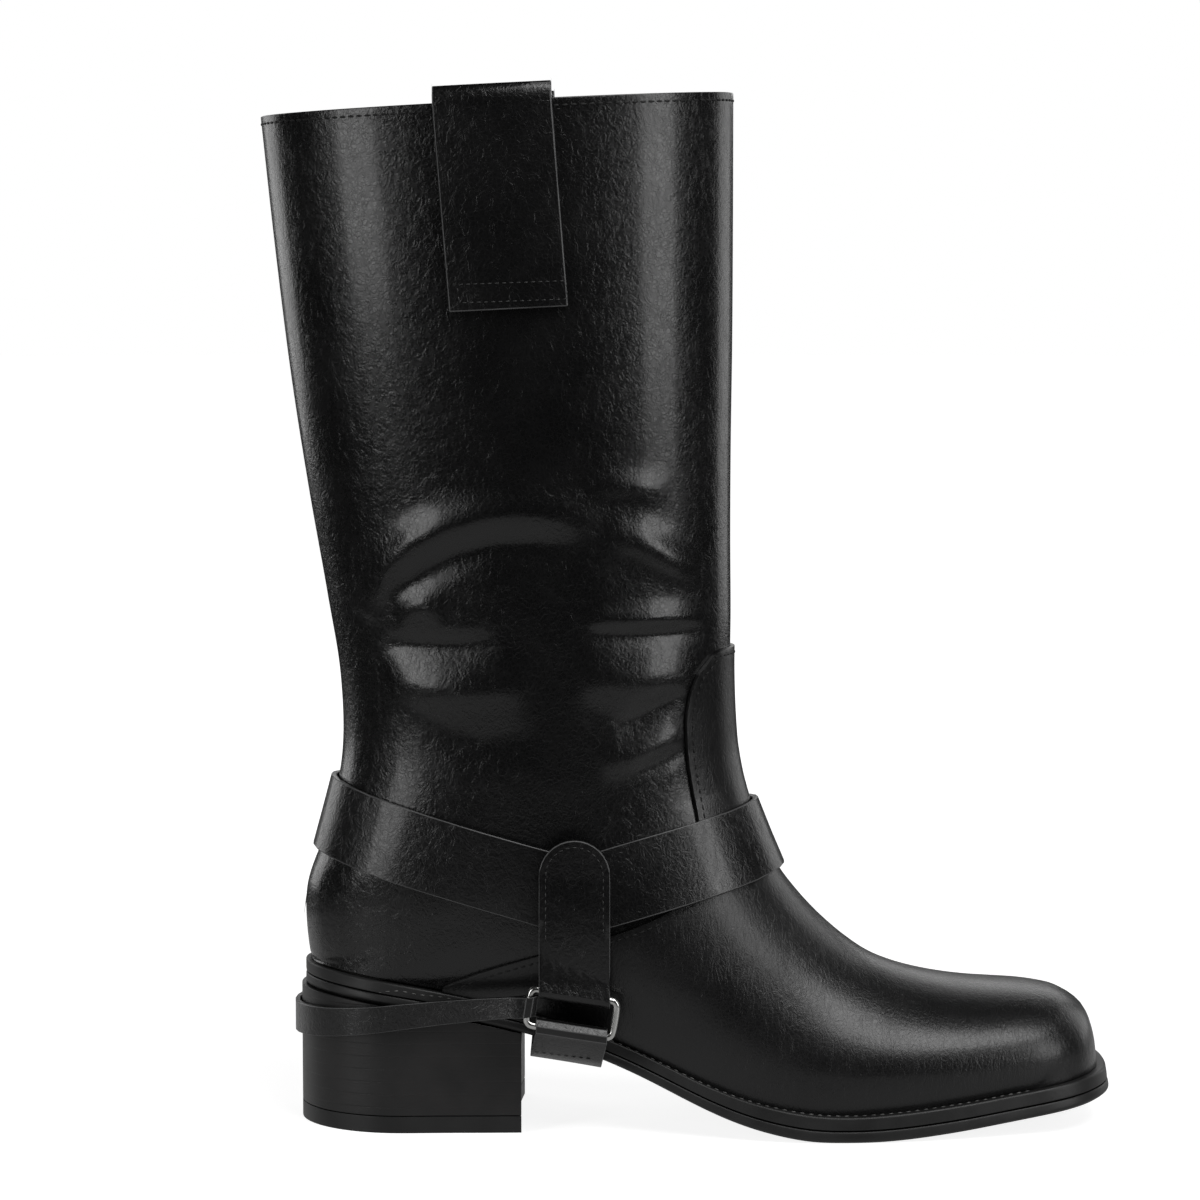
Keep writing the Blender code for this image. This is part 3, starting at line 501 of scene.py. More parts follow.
# Folds of the ankle: line of places along the boot and heights in millimetres, half width, height, sides
FOLDS = (
    Fold(
        ((-13, 168), (-10, 176), (-5, 186), (3, 193), (13, 199), (24, 203), (36, 205), (50, 204), (63, 201)),
        6.5,
        2.3,
    ),
    Fold(((-8, 168), (-2, 178), (6, 185), (16, 190), (28, 193), (42, 193), (58, 190)), 5.5, -1.7),
    Fold(((-4, 171), (4, 174), (12, 172)), 4.5, 1.2),
    Fold(((-8, 161), (4, 160), (16, 160), (30, 162)), 4.0, -1.7),
    Fold(((-8, 149), (8, 146), (24, 147), (40, 149)), 7.0, 1.8),
    Fold(((58, 212), (70, 213), (84, 210)), 4.0, 1.0),
    Fold(((64, 198), (76, 194), (88, 187), (96, 183)), 5.0, 1.7),
    Fold(((58, 169), (76, 169), (98, 169)), 3.4, 1.2),
    Fold(((58, 164), (78, 163.5), (98, 164)), 3.0, -1.3),
    Fold(((54, 151), (72, 149), (96, 150)), 8.0, 2.0),
    Fold(((68, 133), (76, 137), (90, 145)), 3.5, -1.1),
    Fold(((62, 122), (76, 125), (90, 130)), 5.0, 1.0),
    Fold(((74, 119), (82, 122), (92, 127)), 3.0, -0.8),
    Fold(((6, 132), (24, 128), (44, 131)), 6.0, -0.8),
    Fold(((-12, 172), (0, 186), (18, 196), (40, 199), (62, 194)), 6.5, 2.0, (Side.INNER,)),
    Fold(((-8, 160), (6, 175), (26, 185), (50, 184)), 5.5, -1.6, (Side.INNER,)),
    Fold(((-8, 150), (10, 152), (34, 150)), 6.0, 1.4, (Side.INNER,)),
    Fold(((60, 176), (78, 174), (98, 176)), 4.0, -1.3, (Side.INNER,)),
    Fold(((56, 162), (76, 160), (98, 163)), 6.0, 1.6, (Side.INNER,)),
    Fold(((60, 140), (76, 142), (92, 148)), 4.0, -1.0, (Side.INNER,)),
)


@dataclass
class Form:
    """The boot's outer surface, made smooth from the upper's CAD solid.

    Args:
        count: stretches of the solid's rows on each side of the boot.
        folds: the leather's ridges and troughs.
        collar_from: height over which an open edge is the collar's.
        inner_reach: how far the leather is looked for on both sides of the inner wall.
        seat_reach: rows over which the heel seat's row is smoothed.
        seat_rounds: how often it is smoothed.
        back_seam: depth of the groove down the back.
    """

    count: int = 14
    folds: tuple = FOLDS
    collar_from: float = 250 * MM
    inner_reach: float = 150 * MM
    seat_reach: float = 7.0
    seat_rounds: int = 24
    back_seam: float = 0.45 * MM
    grid: np.ndarray = field(init=False)
    closed: np.ndarray = field(init=False)

    def __post_init__(self) -> None:
        """Reads the rows of the solid's outer wall, from the collar to the toe."""
        bm = node_copy("upper")
        self.keep_outer(bm)
        collar = [e for e in bm.edges if e.is_boundary and min(v.co.z for v in e.verts) > self.collar_from]
        back = min({v for e in collar for v in e.verts}, key=lambda v: v.co.x)
        row = [back]
        edges = set(collar)
        step = min((e for e in back.link_edges if e in edges), key=lambda e: e.other_vert(back).co.y)
        while True:
            row.append(step.other_vert(row[-1]))
            if row[-1] is back:
                break
            step = next(e for e in row[-1].link_edges if e in edges and e is not step)
        rows, used = [row], set()
        while True:
            row = self.next_row(rows[-1], used)
            if row is None:
                break
            rows.append(row)
        self.grid = np.array([[v.co[:] for v in row] for row in rows])
        self.closed = np.array([row[0] is row[-1] for row in rows])
        LOG.info("form: %d rows, %d closed", len(rows), int(self.closed.sum()))
        bm.free()

    def keep_outer(self, bm: bmesh.types.BMesh) -> None:
        """Removes the inner wall and the rims: a point just off the inner wall has leather on both sides.

        Args:
            bm: the solid's mesh.
        """
        tree = BVHTree.FromBMesh(bm)
        ways = (Vector((0, 1, 0)), Vector((0, -1, 0)))
        inside = set()
        for face in bm.faces:
            start = face.calc_center_median() + face.normal * MM
            if all(tree.ray_cast(start, way, self.inner_reach)[0] for way in ways):
                inside |= set(face.verts)
        bmesh.ops.delete(bm, geom=list(inside), context="VERTS")

    def next_row(self, above: list, used: set) -> list | None:
        """The row of points under a row, found through the triangles between them.

        Args:
            above: the row over it.
            used: the triangles that are passed, which grows.

        Returns:
            The row, or None past the last one.
        """
        below = []

        def apex(a: bmesh.types.BMVert, b: bmesh.types.BMVert) -> bmesh.types.BMVert | None:
            """The far corner of the next unused triangle on an edge.

            Args:
                a: one end of the edge.
                b: its other end.

            Returns:
                The corner, or None where there is no such triangle.
            """
            edge = next((e for e in a.link_edges if e.other_vert(a) is b), None)
            face = next((f for f in edge.link_faces if f not in used), None) if edge else None
            if face is None:
                return None
            used.add(face)
            return next(v for v in face.verts if v is not a and v is not b)

        for i in range(2 * self.count):
            a, b = above[i], above[i + 1]
            if a is b:
                below.append(below[-1] if below else a)
                continue
            tip = apex(a, b)
            if tip is None:
                return None
            below.append(tip)
        crown = None
        for i in range(2 * self.count):
            corner = above[i + 1] if i < self.count else above[i]
            if i != self.count - 1:
                apex(corner, below[i])
            elif below[i] is not corner:
                crown = apex(corner, below[i])
        if crown is None:
            return None
        return below[: self.count] + [crown] + below[self.count :]

    def points(self, round_steps: int, leg_step: float, foot_steps: int) -> np.ndarray:
        """The surface's points in a fine grid of rows.

        Args:
            round_steps: parts of each stretch round the boot.
            leg_step: length of a part down the leg, in metres.
            foot_steps: parts of each stretch along the foot.

        Returns:
            Rows of points, from the collar to the toe.
        """
        across = finer(self.grid.transpose(1, 0, 2), [round_steps] * (2 * self.count), self.closed)
        across = across.transpose(1, 0, 2)
        spans = np.linalg.norm(np.diff(across, axis=0), axis=-1).mean(axis=1)
        steps = [max(foot_steps, math.ceil(span / leg_step)) for span in spans]
        fine = finer(across, steps, np.zeros(across.shape[1], bool))
        seat = sum(steps[: int(self.closed.sum()) - 1])
        return self.eased(fine, seat)

    def eased(self, points: np.ndarray, seat: int) -> np.ndarray:
        """Smooths the surface where the leg's rows meet the foot's, away from the sole's edge.

        Args:
            points: the surface's rows.
            seat: the row where they meet.

        Returns:
            The same rows, smoothed.
        """
        rows = np.arange(len(points))
        share = np.exp(-(((rows - seat) / self.seat_reach) ** 2))[:, None, None]
        for _ in range(self.seat_rounds):
            middle = (points[:-2, 1:-1] + points[2:, 1:-1]) / 2 - points[1:-1, 1:-1]
            points[1:-1, 1:-1] += middle * share[1:-1] / 2
        return points

    def seam(self, points: np.ndarray) -> np.ndarray:
        """Which rows close on themselves down the back."""
        return np.linalg.norm(points[:, 0] - points[:, -1], axis=-1) < TOUCHING

    def normals(self, points: np.ndarray) -> np.ndarray:
        """Outward directions of the grid's points.

        Args:
            points: the surface's rows.

        Returns:
            A direction for each point.
        """
        down = np.gradient(points, axis=0)
        across = np.gradient(points, axis=1)
        seam = self.seam(points)
        both = points[:, 1] - points[:, -2]
        across[:, 0] = np.where(seam[:, None], both, across[:, 0])
        across[:, -1] = np.where(seam[:, None], both, across[:, -1])
        out = np.cross(down, across)
        size = np.linalg.norm(out, axis=-1, keepdims=True)
        out = out / np.maximum(size, 1e-12)
        middle = out[len(out) // 4, out.shape[1] // 4]
        return out * (1.0 if middle[1] < 0 else -1.0)

    def skin(self, off: float, round_steps: int, leg_step: float, foot_steps: int) -> bmesh.types.BMesh:
        """The open surface, moved outwards and creased.

        Args:
            off: how far it stands off the form, in metres.
            round_steps: parts of each stretch round the boot.
            leg_step: length of a part down the leg, in metres.
            foot_steps: parts of each stretch along the foot.

        Returns:
            The surface as an open mesh.
        """
        points = self.points(round_steps, leg_step, foot_steps)
        moves = sum(fold.at(points) for fold in self.folds)
        for column in (0, -1):
            moves[:, column] -= self.seam(points) * self.back_seam
        points = points + self.normals(points) * (moves + off)[..., None]
        rows, columns = points.shape[:2]
        bm = bmesh.new()
        bmesh.ops.create_grid(bm, x_segments=columns - 1, y_segments=rows - 1, size=1.0)
        order = sorted(bm.verts, key=lambda v: (round(v.co.y * (rows - 1)), round(v.co.x * (columns - 1))))
        for vert, place in zip(order, points.reshape(-1, 3)):
            vert.co = place
        bmesh.ops.remove_doubles(bm, verts=bm.verts, dist=CUT_CRUMB)
        widest = min(bm.faces, key=lambda f: f.calc_center_median().y)
        if widest.normal.y > 0:
            bmesh.ops.reverse_faces(bm, faces=bm.faces)
        bm.normal_update()
        return bm


def thicken(bm: bmesh.types.BMesh, wall: float) -> list:
    """Closes an open skin, which stays as the outer face, into a wall.

    Args:
        bm: the skin.
        wall: how far the inner face lies inside it.

    Returns:
        The edges round the outer face's rim.
    """
    bm.normal_update()
    faces = list(bm.faces)
    ways = {v: v.normal.copy() for v in bm.verts}
    made = bmesh.ops.extrude_face_region(bm, geom=faces, use_keep_orig=True)["geom"]
    rim = [e for e in made if isinstance(e, bmesh.types.BMEdge) and len(e.link_faces) == 2]
    outer_faces = {f for f in made if isinstance(f, bmesh.types.BMFace)}
    rim = [e for e in rim if sum(f in outer_faces for f in e.link_faces) == 1]
    for v, way in ways.items():
        v.co -= way * wall
    bmesh.ops.recalc_face_normals(bm, faces=bm.faces)
    bm.normal_update()
    return rim


@dataclass
class Outline:
    """The vamp's seam seen from the side, from the shin to the sole behind the arch.

    Args:
        spacing: distance between the line's points.
        blur: reach of the smoothing, in spacings.
        reach: how far the line runs on past the shin and under the sole.
        beyond: a place along the boot that lies past the toe.
        near_side: the cut wall is read farther out than this.
        edge_on: how far a face of the wall may turn to the side.
        facing: a face of the wall turns to the leg or up by more than this.
        cut_margin: how far round each stretch faces are cut.
    """

    spacing: float = 3.0 * MM
    blur: float = 1.2
    reach: float = 60 * MM
    beyond: float = 400 * MM
    near_side: float = 5 * MM
    edge_on: float = 0.01
    facing: tuple = (0.25, 0.5)
    cut_margin: float = 3.0 * MM
    line: np.ndarray = field(init=False)

    def __post_init__(self) -> None:
        """Reads the flat cut wall of the vamp's CAD solid and smooths it."""
        bm = node_copy("vamp")
        found = set()
        for face in bm.faces:
            way = face.normal
            faces_leg = way.x < -self.facing[0] or way.z > self.facing[1]
            if abs(way.y) < self.edge_on and faces_leg and face.calc_center_median().y < -self.near_side:
                found |= {(v.co.x, v.co.z) for v in face.verts}
        bm.free()
        rows = np.array(sorted(found, key=lambda p: -p[1]))
        along = np.concatenate([[0], np.cumsum(np.linalg.norm(np.diff(rows, axis=0), axis=1))])
        places = np.linspace(0, along[-1], round(along[-1] / self.spacing))
        near = np.exp(-(((places[:, None] - along[None]) / (self.blur * self.spacing)) ** 2))
        self.line = (near @ rows) / near.sum(axis=1, keepdims=True)
        front = self.line[0] + np.array((self.reach, 0.0))
        below = self.line[-1] - np.array((0.0, self.reach))
        self.line = np.concatenate([[front], self.line, [below]])

    def inside(self, flat: np.ndarray) -> np.ndarray:
        """Which places, seen from the side, lie on the vamp's side of the seam.

        Args:
            flat: places along the boot and heights.

        Returns:
            Whether each place does.
        """
        far = np.array(((self.beyond, self.line[-1][1]), (self.beyond, self.line[0][1])))
        ring = np.concatenate([self.line, far])
        found = np.zeros(len(flat), bool)
        for a, b in zip(ring, np.roll(ring, -1, axis=0)):
            crosses = (a[1] > flat[:, 1]) != (b[1] > flat[:, 1])
            with np.errstate(divide="ignore", invalid="ignore"):
                place = a[0] + (flat[:, 1] - a[1]) / (b[1] - a[1]) * (b[0] - a[0])
            found ^= crosses & (flat[:, 0] < place)
        return found

    def away(self, flat: np.ndarray) -> np.ndarray:
        """Distance of each place from the seam.

        Args:
            flat: places along the boot and heights.

        Returns:
            The distances in metres.
        """
        nearest = np.full(len(flat), 1.0)
        for a, b in zip(self.line, self.line[1:]):
            share = np.clip(((flat - a) @ (b - a)) / ((b - a) @ (b - a)), 0, 1)
            nearest = np.minimum(nearest, np.linalg.norm(flat - a - share[:, None] * (b - a), axis=1))
        return nearest

    def cut(self, bm: bmesh.types.BMesh) -> None:
        """Cuts a mesh along the seam and keeps the vamp's part.

        Args:
            bm: the mesh.
        """
        for a, b in zip(self.line, self.line[1:]):
            low, high = np.minimum(a, b) - self.cut_margin, np.maximum(a, b) + self.cut_margin
            faces = []
            for face in bm.faces:
                middle = face.calc_center_median()
                if low[0] < middle.x < high[0] and low[1] < middle.z < high[1]:
                    faces.append(face)
            edges = list({e for f in faces for e in f.edges})
            geom = faces + edges + list({v for f in faces for v in f.verts})
            if geom:
                way = Vector((b[1] - a[1], 0, a[0] - b[0])).normalized()
                bmesh.ops.bisect_plane(bm, geom=geom, dist=CUT_CRUMB, plane_co=(a[0], 0, a[1]), plane_no=way)
        middles = [face.calc_center_median() for face in bm.faces]
        inside = self.inside(np.array([(m.x, m.z) for m in middles]))
        outer = [face for face, keeps in zip(list(bm.faces), inside) if not keeps]
        bmesh.ops.delete(bm, geom=outer, context="FACES")
        self.keep_largest(bm)

    def keep_largest(self, bm: bmesh.types.BMesh) -> None:
        """Removes crumbs that a cut leaves.

        Args:
            bm: the mesh, of which the largest part stays.
        """
        seen, groups = set(), []
        for face in bm.faces:
            if face in seen:
                continue
            group, queue = [], [face]
            seen.add(face)
            while queue:
                one = queue.pop()
                group.append(one)
                for edge in one.edges:
                    for other in edge.link_faces:
                        if other not in seen:
                            seen.add(other)
                            queue.append(other)
            groups.append(group)
        groups.sort(key=len)
        crumbs = [face for group in groups[:-1] for face in group]
        if crumbs:
            bmesh.ops.delete(bm, geom=crumbs, context="FACES")

    def trim(self, bm: bmesh.types.BMesh, lap: float) -> None:
        """Removes what lies deeper under the vamp than the lap.

        Args:
            bm: the leg's mesh.
            lap: how far it runs on under the vamp.
        """
        middles = [face.calc_center_median() for face in bm.faces]
        flat = np.array([(m.x, m.z) for m in middles])
        hidden = self.inside(flat) & (self.away(flat) > lap)
        faces = [face for face, gone in zip(list(bm.faces), hidden) if gone]
        bmesh.ops.delete(bm, geom=faces, context="FACES")
        self.keep_largest(bm)


@dataclass
class Upper:
    """The leg, its lining and the vamp.

    Args:
        form: the boot's outer surface.
        outline: the vamp's seam.
        leg_wall: thickness of the leg's leather.
        leg_edge: width of the round at its rims.
        lining_from: distance of the lining's outer face from the form.
        lining_wall: thickness of the lining.
        vamp_off: how far the vamp stands off the form.
        vamp_wall: thickness of the vamp's leather.
        vamp_edge: width of the round at its rim.
        lap: how far the leg runs on under the vamp.
        round_steps: parts of each stretch round the boot.
        leg_step: length of a part down the leg.
        foot_steps: parts of each stretch along the foot.
    """

    form: Form
    outline: Outline
    leg_wall: float = 1.2 * MM
    leg_edge: float = 0.45 * MM
    lining_from: float = 1.3 * MM
    lining_wall: float = 0.45 * MM
    vamp_off: float = 1.5 * MM
    vamp_wall: float = 1.35 * MM
    vamp_edge: float = 0.4 * MM
    lap: float = 12 * MM
    round_steps: int = 7
    leg_step: float = 1.9 * MM
    foot_steps: int = 4

    def rounded(self, bm: bmesh.types.BMesh, rim: list, width: float) -> list:
        """Rounds the rim of a wall's outer face and returns the round's faces.

        Args:
            bm: the wall's mesh.
            rim: the edges round its outer face.
            width: width of the round.

        Returns:
            The round's faces.
        """
        return bmesh.ops.bevel(
            bm,
            geom=rim,
            offset=width,
            offset_type="OFFSET",
            affect="EDGES",
            segments=3,
            profile=0.5,
            material=-1,
            clamp_overlap=True,
        )["faces"]

    def leg(self) -> bpy.types.Object:
        """The leather leg, open under the vamp.

        Returns:
            The piece.
        """
        bm = self.form.skin(0.0, self.round_steps, self.leg_step, self.foot_steps)
        self.outline.trim(bm, self.lap)
        rim = thicken(bm, self.leg_wall)
        self.rounded(bm, rim, self.leg_edge)
        return keep("leg", bm, LEATHER, "upper")

    def lining(self) -> bpy.types.Object:
        """The lining inside the whole upper, in coarser parts.

        Returns:
            The piece.
        """
        bm = self.form.skin(-self.lining_from, round_steps=3, leg_step=5 * MM, foot_steps=2)
        thicken(bm, self.lining_wall)
        return keep("lining", bm, LINING, "upper")

    def vamp(self) -> bpy.types.Object:
        """The vamp with its tongue, which laps over the leg.

        Returns:
            The piece.
        """
        bm = self.form.skin(self.vamp_off, self.round_steps, self.leg_step, self.foot_steps)
        self.outline.cut(bm)
        rim = thicken(bm, self.vamp_wall)
        # The rounded rim takes the lighter cut-edge grey: the cut's own colour plus a painted highlight along
        # the vamp's edge.
        for face in self.rounded(bm, rim, self.vamp_edge):
            face.material_index = 1
        piece = keep("vamp_cover", bm, VAMP_LEATHER, "vamp")
        piece.data.materials.append(material_of(CUT_EDGE_AND_HIGHLIGHT))
        return piece

    def build(self) -> None:
        """Makes all three."""
        self.leg()
        self.lining()
        self.vamp()


def finer_arc(bm: bmesh.types.BMesh, width: float, slices: int = 8, least_rise: float = 0.05 * MM) -> None:
    """Makes a tab's half round top finer.

    Args:
        bm: the tab's mesh, whose top is a many-sided half circle.
        width: the tab's width in metres.
        slices: how many slices the CAD solid has.
        least_rise: points where the half circle is lower than this stay.
    """
    half = width / 2
    top = max(v.co.z for v in bm.verts)
    middle = next(v.co.x for v in bm.verts if v.co.z > top - TOUCHING)
    shoulder = top - half
    places = [half * math.sin(math.pi / 2 * (2 * k / slices - 1)) for k in range(slices + 1)]
    between = [half * math.sin(math.pi / 2 * ((2 * k + 1) / slices - 1)) for k in range(slices)]
    rises = [math.sqrt(max(0.0, half**2 - x**2)) for x in places]
    for x in between:
        geom = list(bm.verts) + list(bm.edges) + list(bm.faces)
        place = (middle + x, 0, 0)
        bmesh.ops.bisect_plane(bm, geom=geom, dist=TOUCHING / 2, plane_co=place, plane_no=(1, 0, 0))
    for v in bm.verts:
        x = min(max(v.co.x - middle, -half), half)
        chord = float(np.interp(x, places, rises))
        if v.co.z > shoulder and chord > least_rise:
            v.co.z = shoulder + (v.co.z - shoulder) * math.sqrt(max(0.0, half**2 - x**2)) / chord
    bm.normal_update()


def refined(
    name: str,
    node: str,
    finish: object,
    edge: float = 0.3 * MM,
    levels: int = 2,
    sharp: float = 35.0,
    tidy: float = 0.12 * MM,
    cut_edge: object = None,
    arc: float = 0.0,
) -> bpy.types.Object:
    """A CAD node made finer: rounded edges and smooth faces.

    Args:
        name: the piece's name.
        node: the CAD node that it is made from and stands for.
        finish: its material's dataclass.
        edge: width of the rounding of its edges.
        levels: how often its faces are divided.
        sharp: angle in degrees past which an edge is rounded.
        tidy: points closer than this are joined.
        cut_edge: a finish for the rounded edges, the lighter cut with a painted highlight in it.
        arc: width of a piece whose top is a half circle, which is made finer.

    Returns:
        The piece.
    """
    bm = node_copy(node)
    bmesh.ops.remove_doubles(bm, verts=bm.verts, dist=tidy)
    bmesh.ops.dissolve_degenerate(bm, dist=CUT_CRUMB, edges=bm.edges)
    if arc:
        finer_arc(bm, arc)
    bmesh.ops.join_triangles(
        bm,
        faces=bm.faces,
        angle_face_threshold=math.radians(NEARLY_FLAT),
        angle_shape_threshold=math.radians(NEARLY_SQUARE),
    )
    edges = [e for e in bm.edges if e.is_manifold and e.calc_face_angle() > math.radians(sharp)]
    made = bmesh.ops.bevel(
        bm,
        geom=edges,
        offset=edge,
        offset_type="OFFSET",
        affect="EDGES",
        segments=2,
        profile=0.5,
        material=-1,
        clamp_overlap=not cut_edge,
    )
    for face in bm.faces:
        face.material_index = 0
    # The rounded edges take the lighter cut-edge grey: partly the cut's own colour, partly a painted
    # highlight.
    if cut_edge:
        for face in made["faces"]:
            face.material_index = 1
    LOG.info("%s: %d edges rounded, %d faces", name, len(edges), len(made["faces"]))
    piece = keep(name, bm, finish, node, sharp=60.0)
    if cut_edge:
        piece.data.materials.append(material_of(cut_edge))
    if levels:
        smooth = piece.modifiers.new("smooth", "SUBSURF")
        smooth.levels = smooth.render_levels = levels
        piece.data.set_sharp_from_angle(angle=math.pi)
    else:
        flat = piece.modifiers.new("flat_faces", "WEIGHTED_NORMAL")
        flat.keep_sharp = True
    return piece


def strap(node: str, edge: float, arc: float = 0.0) -> bpy.types.Object:
    """A piece of strap leather, whose rounded edges show the lighter cut with a painted highlight.

    Args:
        node: the CAD node that it is made from.
        edge: width of the rounding of its edges.
        arc: its width where its top is a half circle.

    Returns:
        The piece.
    """
    return refined(node + "_leather", node, STRAP_LEATHER, edge, levels=0, cut_edge=CUT_EDGE_AND_HIGHLIGHT, arc=arc)


@dataclass
class Harness:
    """Ankle straps, side tabs, rings, heel strap and arch strap.

    Args:
        edge: rounding of the broad pieces' edges.
        narrow_edge: rounding of the narrow straps' edges.
        ring_edge: rounding of what is sharp on the rings' wire.
        tab_width: width of a side tab.
    """

    edge: float = 0.34 * MM
    narrow_edge: float = 0.2 * MM
    ring_edge: float = 0.1 * MM
    tab_width: float = 23.0 * MM

    def build(self) -> None:
        """Makes every piece of the harness."""
        for node in ("ankle_strap_front", "ankle_strap_back"):
            strap(node, self.edge)
        for side in Side:
            word = side.name.lower()
            strap(f"side_tab_{word}", self.edge, self.tab_width)
            refined(f"ring_{word}_wire", f"ring_{word}", WIRE, self.ring_edge, levels=2, sharp=80.0)
        for node in ("heel_strap", "arch_strap"):
            strap(node, self.narrow_edge)


@dataclass
class PullTabs:
    """The loops over the collar."""

    edge: float = 0.42 * MM

    def build(self) -> None:
        """Makes both."""
        for side in Side:
            strap(f"pull_tab_{side.name.lower()}", self.edge)


@dataclass
class Bottom:
    """Midsole, outsole, insole, heel and tap, each with the rounding of its edges."""

    sole_edge: float = 0.6 * MM
    insole_edge: float = 0.5 * MM
    heel_edge: float = 0.4 * MM
    tap_edge: float = 0.5 * MM

    def build(self) -> None:
        """Makes every piece under the upper."""
        refined("welt_and_midsole", "midsole", RUBBER, self.sole_edge, levels=2)
        refined("outsole_rubber", "outsole", RUBBER, self.sole_edge, levels=2)
        refined("insole_cover", "insole", INSOLE, self.insole_edge, levels=1)
        refined("heel_layers", "heel_block", HEEL_STACK, self.heel_edge, levels=2)
        refined("heel_tap_rubber", "heel_tap", RUBBER, self.tap_edge, levels=2)


def surface(*pieces: bpy.types.Object) -> BVHTree:
    """What rays meet on finished pieces.

    Args:
        pieces: the pieces, with their modifiers.

    Returns:
        The tree that rays are cast at.
    """
    bm = bmesh.new()
    graph = bpy.context.evaluated_depsgraph_get()
    for piece in pieces:
        mesh = piece.evaluated_get(graph).to_mesh()
        bm.from_mesh(mesh)
        piece.evaluated_get(graph).to_mesh_clear()
    tree = BVHTree.FromBMesh(bm)
    bm.free()
    return tree


def rounded_path(corners: list, radius: float, steps: int = 6) -> list:
    """A path through corners, each cut by a round.

    Args:
        corners: places as pairs, in metres.
        radius: the rounds' reach along each side.
        steps: how many parts a round has.

    Returns:
        The path's places.
    """
    path = [corners[0]]
    for a, b, c in zip(corners, corners[1:], corners[2:]):
        a, b, c = Vector(a), Vector(b), Vector(c)
        start = b + (a - b).normalized() * radius
        end = b + (c - b).normalized() * radius
        for k in range(steps + 1):
            t = k / steps
            path.append(tuple((1 - t) ** 2 * start + 2 * t * (1 - t) * b + t * t * end))
    path.append(corners[-1])
    return path


@dataclass(frozen=True)
class Thread:
    """How a row is sewn: the spacing, length and thickness of its stitches, in metres."""

    pitch: float
    length: float
    thick: float = 0.42 * MM


